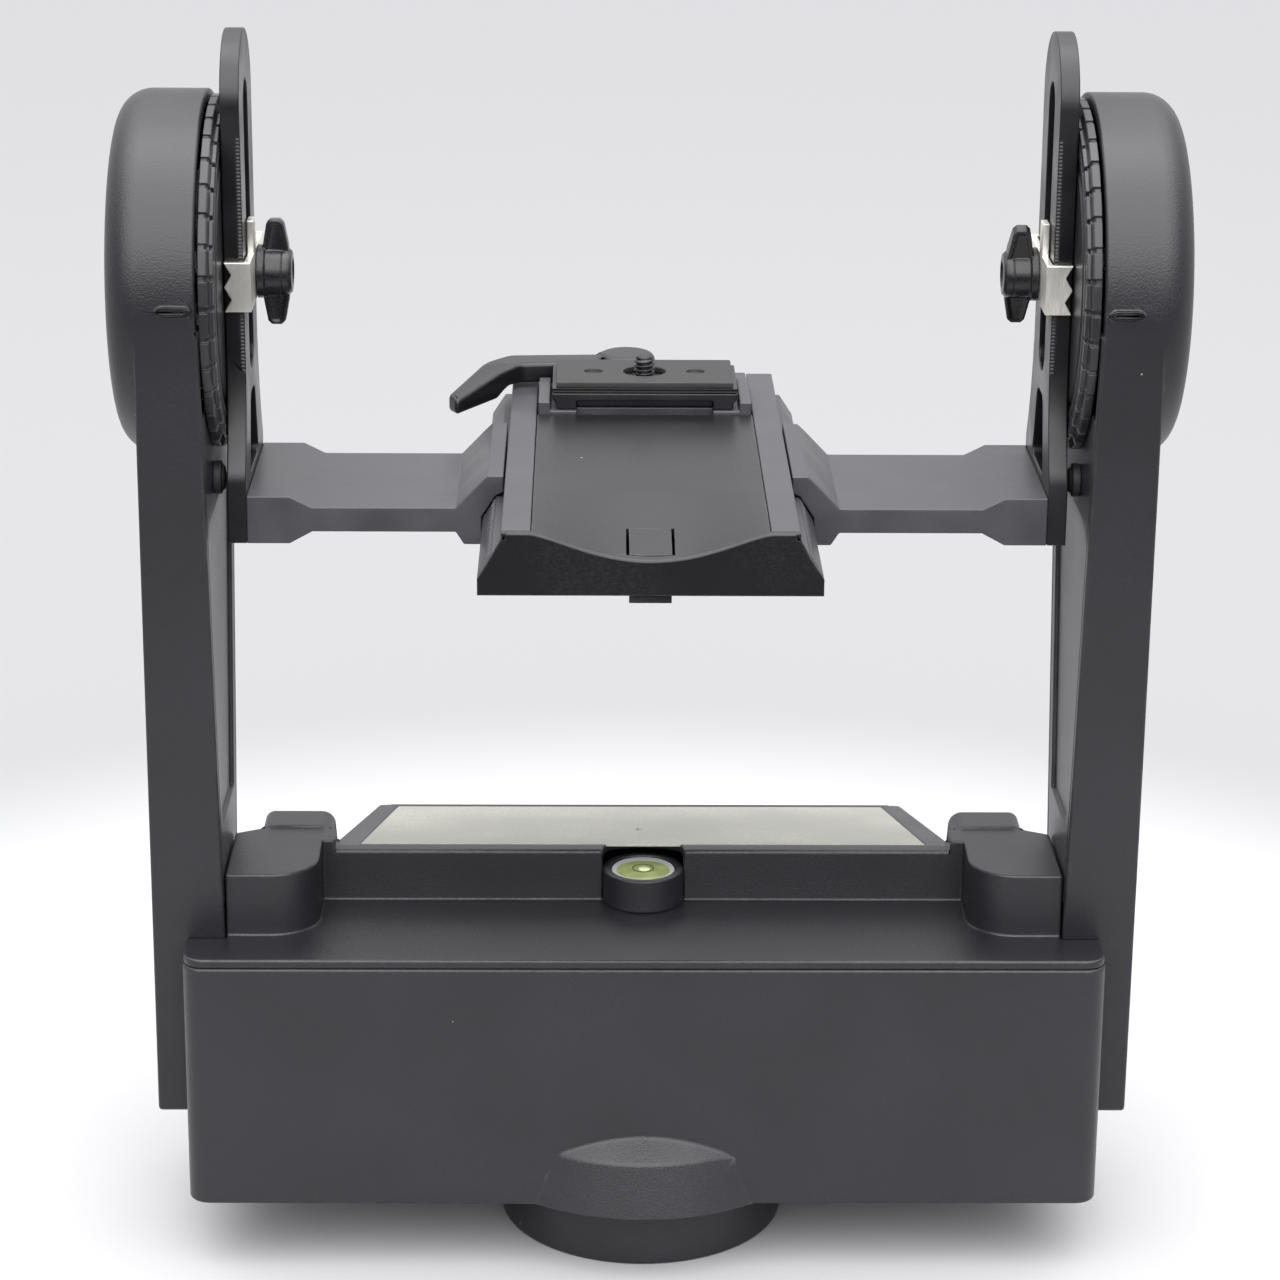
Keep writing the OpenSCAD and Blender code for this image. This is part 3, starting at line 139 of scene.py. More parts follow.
# A tall soft box stands over the camera, from near the horizon to overhead
toward = put(tree, "ShaderNodeSeparateXYZ",
             {0: put(tree, "ShaderNodeTexCoord").outputs["Generated"]}).outputs
aside = sums(tree, "ABSOLUTE", toward["X"])
rise = ramp(tree, toward["Z"], 0.02, 0.40)
front = ramp(tree, toward["Y"], 0.45, 0.10)
narrow = ramp(tree, aside, 0.98, 0.35)
patch = sums(tree, "MULTIPLY", sums(tree, "MULTIPLY", rise, front), narrow)
height = sums(tree, "MULTIPLY_ADD", patch, 4.6, 0.42)
behind = ramp(tree, toward["Y"], -0.1, 0.5, 0.0, 0.48)
above = sums(tree, "MULTIPLY", behind, ramp(tree, toward["Z"], 0.45, 0.72, 1.0, 4.4))
height = sums(tree, "ADD", height, above)
room = put(tree, "ShaderNodeBackground", {"Color": linear(250, 250, 252), "Strength": height})
backdrop = put(tree, "ShaderNodeBackground", {"Color": linear(233, 234, 237), "Strength": 1.0})
rays = put(tree, "ShaderNodeLightPath").outputs
seen = sums(tree, "MAXIMUM", rays["Is Camera Ray"], rays["Is Transmission Ray"])
sky = put(tree, "ShaderNodeMixShader", {0: seen, 1: room.outputs[0], 2: backdrop.outputs[0]})
put(tree, "ShaderNodeOutputWorld", {"Surface": sky.outputs[0]})

for lamp_name, at, size, power in (("overhead", (0.0, 0.1, 1.6), (1.2, 1.0), 5.0),
                                   ("left_wall", (-1.6, 0.2, 0.7), (0.9, 1.0), 0.4),
                                   ("right_wall", (1.6, 0.2, 0.7), (0.9, 1.0), 0.4)):
    lamp = bpy.data.lights.new(lamp_name, "AREA")
    lamp.shape = "RECTANGLE"
    lamp.size, lamp.size_y = size
    lamp.energy = power
    lamp = bpy.data.objects.new(lamp_name, lamp)
    lamp.location = at
    aim = Vector((0, 0, 0.18)) - Vector(at)
    lamp.rotation_euler = aim.to_track_quat("-Z", "Y").to_euler()
    bpy.context.scene.collection.objects.link(lamp)


# ---------------------------------------------------------------- base ring
# The turned foot that the whole head pans on. It stays still on the tripod:
# a moulded ring round a steel plate, with a threaded steel insert.
def group(name, takes, gives):
    """A shader node group with named sockets. Returns it with its two ends."""
    made = bpy.data.node_groups.new(name, "ShaderNodeTree")
    for label, kind, value in takes:
        socket = made.interface.new_socket(label, in_out="INPUT", socket_type=kind)
        if value is not None:
            socket.default_value = value
    for label, kind in gives:
        made.interface.new_socket(label, in_out="OUTPUT", socket_type=kind)
    return made, put(made, "NodeGroupInput").outputs, put(made, "NodeGroupOutput").inputs


FLOAT, VECTOR = "NodeSocketFloat", "NodeSocketVector"
# Spark-eroded grain of a moulded housing: soft pits with a slow drift in tone
grain, takes, gives = group("mould_grain", [("Where", VECTOR, None), ("Size", FLOAT, 0.0006)],
                            [("Height", FLOAT), ("Tone", FLOAT)])
per = sums(grain, "DIVIDE", 1.0, takes["Size"])
fine = put(grain, "ShaderNodeTexNoise", {"Vector": takes["Where"], "Scale": per, "Detail": 3.0,
                                         "Roughness": 0.6})
cells = put(grain, "ShaderNodeTexVoronoi", {"Vector": takes["Where"], "Scale": per},
            feature="SMOOTH_F1")
pits = sums(grain, "ADD", fine.outputs[0], cells.outputs["Distance"])
slow = put(grain, "ShaderNodeTexNoise", {"Vector": takes["Where"], "Scale": 26.0, "Detail": 4.0})
grain.links.new(pits, gives["Height"])
uneven = sums(grain, "MULTIPLY", ramp(grain, slow.outputs[0], 0.3, 0.7), ramp(grain, pits, 0.6, 1.3))
grain.links.new(uneven, gives["Tone"])

# Lint and dust: a few pale specks, each in its own cell
dust, takes, gives = group("dust", [("Where", VECTOR, None), ("Size", FLOAT, 0.02)], [("Mask", FLOAT)])
bent = put(dust, "ShaderNodeTexNoise", {"Vector": takes["Where"], "Scale": 900.0}).outputs["Color"]
shifted = put(dust, "ShaderNodeVectorMath", {0: bent, 1: (0.0006, 0.0006, 0.0006), 2: takes["Where"]},
              operation="MULTIPLY_ADD").outputs[0]
cells = put(dust, "ShaderNodeTexVoronoi", {"Vector": shifted, "Scale": 60.0})
luck = put(dust, "ShaderNodeSeparateColor", {0: cells.outputs["Color"]}).outputs[0]
reach = sums(dust, "MULTIPLY", takes["Size"], luck)
inside = sums(dust, "LESS_THAN", cells.outputs["Distance"], reach)
few = sums(dust, "GREATER_THAN", luck, 0.72)
dust.links.new(sums(dust, "MULTIPLY", inside, few), gives["Mask"])

# Edges polished by handling: where the rounded normal leaves the face's own
rub, takes, gives = group("edge_rub", [("Where", VECTOR, None)], [("Mask", FLOAT)])
round_normal = put(rub, "ShaderNodeBevel", {"Radius": 0.0006}, samples=4).outputs[0]
face_normal = put(rub, "ShaderNodeNewGeometry").outputs["True Normal"]
meet = put(rub, "ShaderNodeVectorMath", {0: round_normal, 1: face_normal},
           operation="DOT_PRODUCT").outputs["Value"]
bare = ramp(rub, meet, 0.99, 0.86)
patch = put(rub, "ShaderNodeTexNoise", {"Vector": takes["Where"], "Scale": 140.0, "Detail": 4.0}).outputs[0]
rub.links.new(sums(rub, "MULTIPLY", bare, ramp(rub, patch, 0.35, 0.62)), gives["Mask"])


def shades(colour, share):
    """A darker and a lighter shade of a colour."""
    return [tuple(min(1.0, c * by) for c in colour[:3]) + (1.0,) for by in (1 - share, 1 + share)]


def moulded(name, colour, rough, size=0.0006, bump=0.12, specks=0.02, rubbed=0.25):
    """Moulded plastic with an eroded grain, rubbed edges and a little dust."""
    finish, tree = blank(name)
    where = put(tree, "ShaderNodeTexCoord").outputs["Object"]
    skin = put(tree, "ShaderNodeGroup", {"Where": where, "Size": size}, node_tree=grain)
    worn = put(tree, "ShaderNodeGroup", {"Where": where}, node_tree=rub).outputs[0]
    lint = put(tree, "ShaderNodeGroup", {"Where": where, "Size": specks}, node_tree=dust).outputs[0]
    tone = blend(tree, skin.outputs["Tone"], *shades(colour, 0.18))
    edged = blend(tree, sums(tree, "MULTIPLY", worn, rubbed), tone, linear(120, 120, 124))
    flecked = blend(tree, lint, edged, linear(150, 150, 150))
    shine = ramp(tree, skin.outputs["Tone"], 0.0, 1.0, rough - 0.04, rough + 0.06)
    soft = put(tree, "ShaderNodeBevel", {"Radius": 0.0005}, samples=4).outputs[0]
    relief = put(tree, "ShaderNodeBump", {"Strength": bump, "Distance": 0.00012, "Normal": soft,
                                          "Height": skin.outputs["Height"]}).outputs[0]
    shader = put(tree, "ShaderNodeBsdfPrincipled", {"Base Color": flecked, "Roughness": shine,
                                                    "Normal": relief, "Specular IOR Level": 0.45})
    put(tree, "ShaderNodeOutputMaterial", {"Surface": shader.outputs[0]})
    return finish


housing = moulded("housing_plastic", linear(32, 31, 35), 0.38, size=0.00045, bump=0.5)


def settled(form, sharp):
    """Smooth shading on every face, apart from edges sharper than this angle."""
    limit = math.radians(sharp)
    for face in form.faces:
        face.smooth = True
    for edge in form.edges:
        edge.smooth = len(edge.link_faces) == 2 and edge.calc_face_angle(0.0) < limit


def shown(name, mesh, body, finish, stands_for=()):
    """Puts a finished mesh in the scene, on its body, in place of its CAD nodes."""
    piece = bpy.data.objects.new(name, mesh)
    bpy.context.scene.collection.objects.link(piece)
    mesh.materials.clear()
    mesh.materials.append(finish)
    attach(piece, body)
    if stands_for:
        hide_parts(*stands_for)


def merged(node):
    """A copy of a CAD node's mesh with its loose triangles joined up into faces."""
    form = bmesh.new()
    form.from_mesh(nodes[node].data)
    bmesh.ops.remove_doubles(form, verts=form.verts, dist=2e-6)
    bmesh.ops.dissolve_limit(form, angle_limit=math.radians(0.5), verts=form.verts, edges=form.edges)
    return form


def eased(form, name, width, soft=(), segments=2, fold=50):
    """Rounds over the sharp edges. soft lists boxes in mm whose edges get their own width."""
    sharp_from = math.radians(33)
    skin = BVHTree.FromBMesh(form)
    widest = max([width] + [s[2] for s in soft])
    weight = form.edges.layers.float.new("bevel_weight_edge")
    for edge in form.edges:
        if len(edge.link_faces) != 2 or edge.calc_face_angle(0.0) < sharp_from:
            continue
        own = width
        for low, high, wanted in soft:
            if all(low[k] * MM <= v.co[k] <= high[k] * MM for v in edge.verts for k in range(3)):
                own = wanted
        edge[weight] = own / widest
    mesh = bpy.data.meshes.new(name)
    form.to_mesh(mesh)
    form.free()
    rough = bpy.data.objects.new(name + "_rough", mesh)
    bpy.context.scene.collection.objects.link(rough)
    bevel = rough.modifiers.new("bevel", "BEVEL")
    bevel.limit_method = "WEIGHT"
    bevel.width = widest * MM
    bevel.segments = segments
    bevel.use_clamp_overlap = False
    bevel.miter_outer = "MITER_ARC"
    done = bpy.data.meshes.new_from_object(rough.evaluated_get(bpy.context.evaluated_depsgraph_get()))
    bpy.data.objects.remove(rough)
    # Points that the rounding threw well off the piece go back to its skin
    farthest = 1.3 * widest * MM
    for vert in done.vertices:
        spot, _, _, off = skin.find_nearest(vert.co)
        if off > farthest:
            vert.co = spot
    return weighted(done, name, fold)


def weighted(mesh, name, sharp):
    """Smooth shading whose normals lie flat on the large faces."""
    form = bmesh.new()
    form.from_mesh(mesh)
    settled(form, sharp)
    form.to_mesh(mesh)
    form.free()
    rough = bpy.data.objects.new(name + "_rough", mesh)
    bpy.context.scene.collection.objects.link(rough)
    lie = rough.modifiers.new("normals", "WEIGHTED_NORMAL")
    lie.keep_sharp = True
    lie.weight = 80
    done = bpy.data.meshes.new_from_object(rough.evaluated_get(bpy.context.evaluated_depsgraph_get()))
    bpy.data.objects.remove(rough)
    done.name = name
    return done


def dressed(name, node, body, finish, width, soft=(), segments=2, fold=50):
    """A CAD node with its edges rounded over as the mould or the cutter leaves them."""
    mesh = eased(merged(node), name, width, soft, segments, fold)
    shown(name, mesh, body, finish, [node])


def kept(node, finish):
    """A CAD node whose shape is right, with its finish."""
    nodes[node].data.materials.clear()
    nodes[node].data.materials.append(finish)


dressed("foot_ring", "base_ring", "mount", housing, 0.6)


# Turned and machined steel: fine rings or lines of the tool, on metal
def machined(name, colour, rough, stretch=(1.0, 1.0, 30.0), scale=300.0, bump=0.05, metal=1.0, drift=0.12):
    """Metal with the fine lines that a tool leaves, stretched across one axis."""
    finish, tree = blank(name)
    where = put(tree, "ShaderNodeTexCoord").outputs["Object"]
    drawn = put(tree, "ShaderNodeMapping", {"Vector": where, "Scale": stretch}).outputs[0]
    lines = put(tree, "ShaderNodeTexNoise", {"Vector": drawn, "Scale": scale, "Detail": 5.0,
                                             "Roughness": 0.7}).outputs[0]
    slow = put(tree, "ShaderNodeTexNoise", {"Vector": where, "Scale": 60.0, "Detail": 3.0}).outputs[0]
    worked = ramp(tree, sums(tree, "MULTIPLY", lines, slow), 0.12, 0.4)
    tone = blend(tree, worked, *shades(colour, drift))
    shine = ramp(tree, slow, 0.3, 0.7, rough - 0.05, rough + 0.07)
    soft = put(tree, "ShaderNodeBevel", {"Radius": 0.0004}, samples=4).outputs[0]
    relief = put(tree, "ShaderNodeBump", {"Strength": bump, "Distance": 0.0001, "Height": lines,
                                          "Normal": soft}).outputs[0]
    shader = put(tree, "ShaderNodeBsdfPrincipled", {"Base Color": tone, "Roughness": shine,
                                                    "Metallic": metal, "Normal": relief})
    put(tree, "ShaderNodeOutputMaterial", {"Surface": shader.outputs[0]})
    return finish


steel = machined("turned_steel", linear(168, 168, 172), 0.3)
dressed("mount_disc", "mount_plate", "mount", steel, 0.4)
for name in ("pan_gear", "gear_screws"):
    kept(name, steel)


def spun(rows, steps, around=False):
    """A surface of rings in mm. A row is a radius, or a rule for it, and a height."""
    form = bmesh.new()
    rings = []
    for reach, high in rows:
        turns = [2 * math.pi * k / steps for k in range(steps)]
        reaches = [reach(turn, high) if callable(reach) else reach for turn in turns]
        rings.append([form.verts.new((r * math.cos(turn) * MM, r * math.sin(turn) * MM, high * MM))
                      for r, turn in zip(reaches, turns)])
    for low, high in zip(rings, rings[1:] + (rings[:1] if around else [])):
        for k in range(steps):
            form.faces.new((low[k], low[(k + 1) % steps], high[(k + 1) % steps], high[k]))
    bmesh.ops.remove_doubles(form, verts=form.verts, dist=1e-7)
    bmesh.ops.recalc_face_normals(form, faces=form.faces)
    return form


def thread(crest, depth, pitch, low, high, inward=False):
    """Rows of a V thread, fading out at both ends, for spun()."""
    def reach(turn, z):
        along = (z / pitch - turn / (2 * math.pi)) % 1.0
        tooth = min(1.0, max(0.0, (1 - abs(2 * along - 1)) * 1.3 - 0.15))
        fade = min(1.0, (z - low) / pitch, (high - z) / pitch)
        return crest + depth * tooth * fade if inward else crest - depth * (1 - tooth * fade)

    count = round((high - low) / pitch * 10)
    return [(reach, low + (high - low) * k / count) for k in range(count + 1)]


def moved(form, axis=(0, 0, 1), at=(0, 0, 0)):
    """Points a form made along Z down another axis, and puts it at a place in mm."""
    turn = Vector((0, 0, 1)).rotation_difference(Vector(axis)).to_matrix().to_4x4()
    bmesh.ops.transform(form, matrix=Matrix.Translation(Vector(at) * MM) @ turn, verts=form.verts)
    return form


def plain(form, name, sharp=40):
    """A form's mesh with smooth shading, as it is."""
    settled(form, sharp)
    mesh = bpy.data.meshes.new(name)
    form.to_mesh(mesh)
    form.free()
    return mesh


bore = thread(3.97, 0.8, 1.5875, 0.0, 12.0, inward=True)
tube = [(8.0, 0.0), (8.0, 12.0), (4.6, 12.0)] + bore[::-1] + [(4.6, 0.0)]
shown("tripod_bush", plain(spun(tube, 72, True), "tripod_bush"), "mount", steel, ["thread_insert"])

# ---------------------------------------------------------------- base housing
# The wide lower box: one hollow moulding with a round bulge under its front
# face where the pan bearing sits, and two pockets that take the uprights.
# The bulge's edges stay as they are modelled
dressed("base_box", "base_shell", "chassis", housing, 0.8, [((-52, -56, 2), (52, -40, 34), 0.0)],
        segments=4, fold=25)

# ---------------------------------------------------------------- top cover
# The moulded lid: a low deck in front, a step up to the sloping console, and
# two rounded blocks that tie the uprights to it. Its feet blend in fillets.
dressed("deck_cover", "top_cover", "chassis", housing, 0.7)
dressed("level_cup", "level_housing", "chassis", housing, 0.6)

# ---------------------------------------------------------------- bubble level
# A round vial of green fluid with a bubble under its clear cap, and a thin
# black ring to read it against.
fluid, tree = blank("level_fluid")
where = put(tree, "ShaderNodeTexCoord").outputs["Object"]
# Green within a round patch, and pale round its rim
centre = put(tree, "ShaderNodeVectorMath", {0: where, 1: (0.0, 0.0026, 0.1)},
             operation="SUBTRACT").outputs[0]
flat = put(tree, "ShaderNodeVectorMath", {0: centre, 1: (1.0, 1.05, 0.0)}, operation="MULTIPLY").outputs[0]
away = put(tree, "ShaderNodeVectorMath", {0: flat}, operation="LENGTH").outputs["Value"]
cloud = put(tree, "ShaderNodeTexNoise", {"Vector": where, "Scale": 240.0, "Detail": 4.0}).outputs[0]
green = blend(tree, ramp(tree, cloud, 0.3, 0.7), linear(128, 142, 88), linear(152, 161, 108))
tone = blend(tree, ramp(tree, away, 0.0074, 0.0081), green, linear(176, 178, 178))
shader = put(tree, "ShaderNodeBsdfPrincipled", {"Base Color": tone, "Roughness": 0.08, "Coat Weight": 0.6})
put(tree, "ShaderNodeOutputMaterial", {"Surface": shader.outputs[0]})
ink = moulded("black_ink", linear(40, 42, 36), 0.4, bump=0.0, specks=0.0, rubbed=0.0)
air = moulded("bubble_skin", linear(214, 222, 170), 0.06, bump=0.0, specks=0.0, rubbed=0.0)
level_at = (0, 4, 100)
vial = spun([(0, 0), (9.2, 0), (9.2, 4.2), (8.9, 4.5), (0, 4.6)], 72)
shown("vial_body", plain(moved(vial, at=level_at), "vial_body"), "chassis", fluid, ["level_vial"])
line = spun([(2.9, 4.58), (3.15, 4.58), (3.15, 4.66), (2.9, 4.66)], 56, True)
shown("vial_ring", plain(moved(line, at=level_at), "vial_ring"), "chassis", ink)
dome = [(1.9 * math.cos(a), 4.6 + 0.22 * math.sin(a)) for a in (0.0, 0.4, 0.8, 1.2)]
bubble = spun([(0, 4.5)] + dome + [(0, 4.82)], 36)
shown("vial_bubble", plain(moved(bubble, at=(0.3, 3.4, 100)), "vial_bubble"), "chassis", air)

# ---------------------------------------------------------------- faceplate
# A thin painted panel let into the sloping console, a shade warmer than the
# grey of the mouldings, with a small printed arrow over the pan axis.
panel = moulded("faceplate_paint", linear(158, 158, 149), 0.55, size=0.0009, bump=0.03, specks=0.004,
                rubbed=0.0)
dressed("console_panel", "faceplate", "chassis", panel, 0.25)


def sheet(outline, thick):
    """A flat outline in mm, given a thickness along Z."""
    form = bmesh.new()
    face = form.faces.new([form.verts.new((x * MM, y * MM, 0)) for x, y in outline])
    grown = bmesh.ops.extrude_face_region(form, geom=[face])["geom"]
    bmesh.ops.translate(form, vec=(0, 0, thick * MM),
                        verts=[v for v in grown if isinstance(v, bmesh.types.BMVert)])
    bmesh.ops.recalc_face_normals(form, faces=form.faces)
    return form


# The arrow lies on the console's slope
console_front, console_back, console_top, console_low = 7, 78, 110.5, 96
slope = math.atan2(console_top - console_low, console_back - console_front)
arrow = sheet([(-0.35, -1.6), (0.35, -1.6), (0.35, 0.2), (1.1, 0.2), (0, 1.8), (-1.1, 0.2),
               (-0.35, 0.2)], 0.03)
arrow_y = 34.0
arrow_z = console_top - (arrow_y - console_front) * math.tan(slope) - 0.005
lean = Matrix.Translation(Vector((-1.2, arrow_y, arrow_z)) * MM) @ Matrix.Rotation(-slope, 4, "X")
bmesh.ops.transform(arrow, matrix=lean, verts=arrow.verts)
shown("panel_arrow", plain(arrow, "panel_arrow"), "chassis", ink)

# ---------------------------------------------------------------- rear controls
# A black bezel on the leaning rear wall holds a display window and five keys.
# Below it are the power switch, two sockets and the battery pack.
gloss_black = moulded("bezel_plastic", linear(34, 34, 36), 0.33, size=0.0004, bump=0.04, specks=0.01)
dressed("control_bezel", "rear_bezel", "chassis", gloss_black, 0.3)
glass = moulded("display_glass", linear(84, 98, 92), 0.12, size=0.002, bump=0.0, specks=0.004, rubbed=0.0)
kept("display_window", glass)
solder = moulded("circuit_board", linear(38, 84, 52), 0.4, size=0.003, bump=0.2)
kept("display_module", solder)
kept("control_board", solder)
key_rubber = moulded("key_rubber", linear(206, 206, 200), 0.5, size=0.0005, bump=0.05, specks=0.01,
                     rubbed=0.05)
# The wall leans back from the console's edge down to the upright rear face
rear_y, rear_z = 88, 70
rear_lean = math.atan2(rear_y - console_back, console_low - rear_z)
rear_middle = Vector((0, (rear_y + console_back) / 2, (rear_z + console_low) / 2)) * MM
wall = Matrix.Translation(rear_middle) @ Matrix.Rotation(rear_lean - math.pi / 2, 4, "X")
key_pitch, key_middle, key_face = 6.8, 44, 1.195
key_ink = moulded("key_ink", linear(62, 62, 62), 0.5, bump=0.0, specks=0.0, rubbed=0.0)
for name, u, v in (("up", 0, -1), ("down", 0, 1), ("left", -1, 0), ("right", 1, 0), ("enter", 0, 0)):
    dressed("button_" + name, "key_" + name, name + "_key", key_rubber, 0.5)
    if name == "enter":
        mark = spun([(0, 0), (1.1, 0), (1.1, 0.03), (0, 0.03)], 32)
    else:
        mark = sheet([(1.2 * u, 1.2 * v), (-0.7 * u - 1.1 * v, -0.7 * v + 1.1 * u),
                      (-0.7 * u + 1.1 * v, -0.7 * v - 1.1 * u)], 0.03)
    spot = Matrix.Translation(Vector((key_middle + key_pitch * u, key_pitch * v, key_face)) * MM)
    bmesh.ops.transform(mark, matrix=wall @ spot, verts=mark.verts)
    shown("button_mark_" + name, plain(mark, "button_mark_" + name), name + "_key", key_ink)
dressed("power_switch", "power_button", "power", key_rubber, 0.6)
dressed("power_socket", "dc_jack", "chassis", gloss_black, 0.2)
pin = spun([(0, -9), (1, -9), (1, -1.4), (0.7, -1.0), (0, -1.0)], 32)
shown("power_pin", plain(moved(pin, (0, 1, 0), (-34, rear_y, 48)), "power_pin"), "chassis", steel)
dressed("shutter_socket", "trigger_jack", "chassis", gloss_black, 0.2)
dressed("battery_case", "battery_pack", "battery", housing, 0.6)

# ---------------------------------------------------------------- pan drive
# The parts inside the base that turn it round the foot: a motor on its
# bracket, a brass pinion and the bearing that carries the base.
brass = machined("brass", linear(196, 164, 96), 0.32)
motor_can = machined("motor_can", linear(120, 120, 124), 0.4)
kept("pan_bearing", steel)
kept("pan_bracket", steel)
kept("pan_motor", motor_can)
kept("pan_pinion", brass)

# ---------------------------------------------------------------- uprights
# Two hollow moulded arms, each with a round drum at its head that holds the
# tilt bearings. A flat cover closes the inner side. The drums' outer edges
# stay as they are modelled.
for side, low_x, high_x in (("left", -150, -133), ("right", 133, 150)):
    dressed("arm_" + side, "upright_" + side, "chassis", housing, 0.9,
            [((low_x, -60, 225), (high_x, 60, 340), 0.0)])
    dressed("arm_lid_" + side, "arm_cover_" + side, "chassis", housing, 0.5)
rubber = moulded("rubber", linear(40, 40, 41), 0.62, size=0.0004, bump=0.1)
dressed("arm_stops", "arm_bumpers", "chassis", rubber, 0.5)
dark_steel = machined("blackened_steel", linear(58, 58, 60), 0.35)
for name in ("arm_bolts", "tilt_bearings"):
    kept(name, steel)
kept("shell_screws", dark_steel)
kept("tilt_motor", motor_can)
kept("tilt_gear", steel)
kept("tilt_pinion", brass)
cable = moulded("ribbon_cable", linear(150, 96, 66), 0.5, size=0.001, bump=0.05)
kept("ribbon_cable", cable)

# ---------------------------------------------------------------- tilt dials
# Black dials with raised pads round the rim, which turn with the cradle. The
# disc is a turned form, and its pads are set out round the axis by nodes.
dial_black = moulded("dial_plastic", linear(38, 38, 40), 0.34, size=0.0005, bump=0.05, specks=0.012)


def repeater():
    """Geometry Nodes that set a part out in a row or round an axis."""
    made = bpy.data.node_groups.new("set_out", "GeometryNodeTree")
    for label, kind in (("Part", "Geometry"), ("Count", "Int"), ("Step", "Vector"), ("Turn", "Vector"),
                        ("Spread", "Float"), ("Seed", "Int"), ("Finish", "Material")):
        made.interface.new_socket(label, in_out="INPUT", socket_type="NodeSocket" + kind)
    made.interface.new_socket("Parts", in_out="OUTPUT", socket_type="NodeSocketGeometry")
    takes, gives = put(made, "NodeGroupInput").outputs, put(made, "NodeGroupOutput").inputs
    order = put(made, "GeometryNodeInputIndex").outputs[0]
    place, turned = [put(made, "ShaderNodeVectorMath", {0: takes[label], "Scale": order},
                         operation="SCALE").outputs[0] for label in ("Step", "Turn")]
    spots = put(made, "GeometryNodePoints", {"Count": takes["Count"], "Position": place}).outputs[0]
    chance = put(made, "FunctionNodeRandomValue", {"ID": order, "Seed": takes["Seed"], 2: -1.0, 3: 1.0},
                 data_type="FLOAT").outputs[1]
    size = sums(made, "MULTIPLY_ADD", chance, takes["Spread"], 1.0)
    each = put(made, "GeometryNodeInstanceOnPoints", {"Points": spots, "Instance": takes["Part"],
                                                      "Rotation": turned, "Scale": size}).outputs[0]
    real = put(made, "GeometryNodeRealizeInstances", {"Geometry": each}).outputs[0]
    coated = put(made, "GeometryNodeSetMaterial", {"Geometry": real, "Material": takes["Finish"]})
    made.links.new(coated.outputs[0], gives["Parts"])
    return made


set_out = repeater()


def repeated(mesh, finish, count, step=(0, 0, 0), turn=(0, 0, 0), spread=0.0, seed=1):
    """A part's mesh set out count times by the node group, as one mesh."""
    part = bpy.data.objects.new("part", mesh)
    bpy.context.scene.collection.objects.link(part)
    rule = part.modifiers.new("set_out", "NODES")
    rule.node_group = set_out
    ids = {item.name: item.identifier for item in set_out.interface.items_tree if item.in_out == "INPUT"}
    for label, value in (("Count", count), ("Step", [c * MM for c in step]), ("Turn", list(turn)),
                         ("Spread", spread), ("Seed", seed), ("Finish", finish)):
        rule[ids[label]] = value
    done = bpy.data.meshes.new_from_object(part.evaluated_get(bpy.context.evaluated_depsgraph_get()))
    bpy.data.objects.remove(part)
    return done


def joined(name, *parts, sharp=40):
    """Several meshes or forms as one mesh."""
    form = bmesh.new()
    for part in parts:
        mesh = part if isinstance(part, bpy.types.Mesh) else plain(part, name)
        form.from_mesh(mesh)
    return plain(form, name, sharp)


def block(low, high):
    """A box between two corners in mm."""
    form = bmesh.new()
    bmesh.ops.create_cube(form, size=1.0)
    for vert in form.verts:
        vert.co = Vector([(low[k] if vert.co[k] < 0 else high[k]) * MM for k in range(3)])
    return form


dial_face, tilt_axis_z, pad_count = 114.4, 281.5, 36
# Modelled along Z with the inner face at 0, then laid along the tilt axis
for side, way in (("left", -1), ("right", 1)):
    disc = spun([(7.5, 0), (35.8, 0), (36.4, 0.6), (38.9, 0.6), (39.4, 0), (41.2, 0), (41.5, 0.4),
                 (42.1, 0.4), (42.4, 0), (42.9, 0), (43.2, 0.9), (45.0, 1.0), (45.1, 1.7),
                 (46.2, 1.6), (47.2, 2.3), (47.2, 3.8), (7.5, 3.8)], 144, True)
    tooth = block((45.2, -3.4, 0.9), (47.9, 3.4, 3.8))
    for vert in tooth.verts:
        if vert.co.x > 46.5 * MM and vert.co.z < 2 * MM:
            vert.co.z += 0.7 * MM
    rib = eased(block((43.0, -3.3, 0.05), (45.6, 3.3, 1.6)), "dial_rib", 0.2)
    tooth = joined("dial_tooth", eased(tooth, "dial_pad", 0.22), rib)
    pads = repeated(tooth, dial_black, pad_count, turn=(0, 0, 2 * math.pi / pad_count),
                    spread=0.0006, seed=7)
    both = bmesh.new()
    both.from_mesh(joined("dial", disc, pads))
    bmesh.ops.rotate(both, cent=(0, 0, 0), matrix=Matrix.Rotation(math.pi / pad_count, 3, "Z"),
                     verts=both.verts)
    moved(both, (way, 0, 0), (way * dial_face, 0, tilt_axis_z))
    name = "dial_" + side + "_disc"
    shown(name, plain(both, name), "tilt", dial_black, ["dial_" + side])
    kept("tilt_shaft_" + side, steel)

# ---------------------------------------------------------------- height clamps
# Folded steel brackets with notched pointers, which hold the cradle's side
# plates to the dials at the chosen height.
sheet_steel = machined("bracket_steel", linear(244, 240, 232), 0.42, stretch=(6.0, 6.0, 1.0), scale=260.0,
                       bump=0.08)
for side in ("left", "right"):
    dressed("clamp_bracket_" + side + "_plate", "clamp_bracket_" + side, "tilt",
            sheet_steel, 0.15)

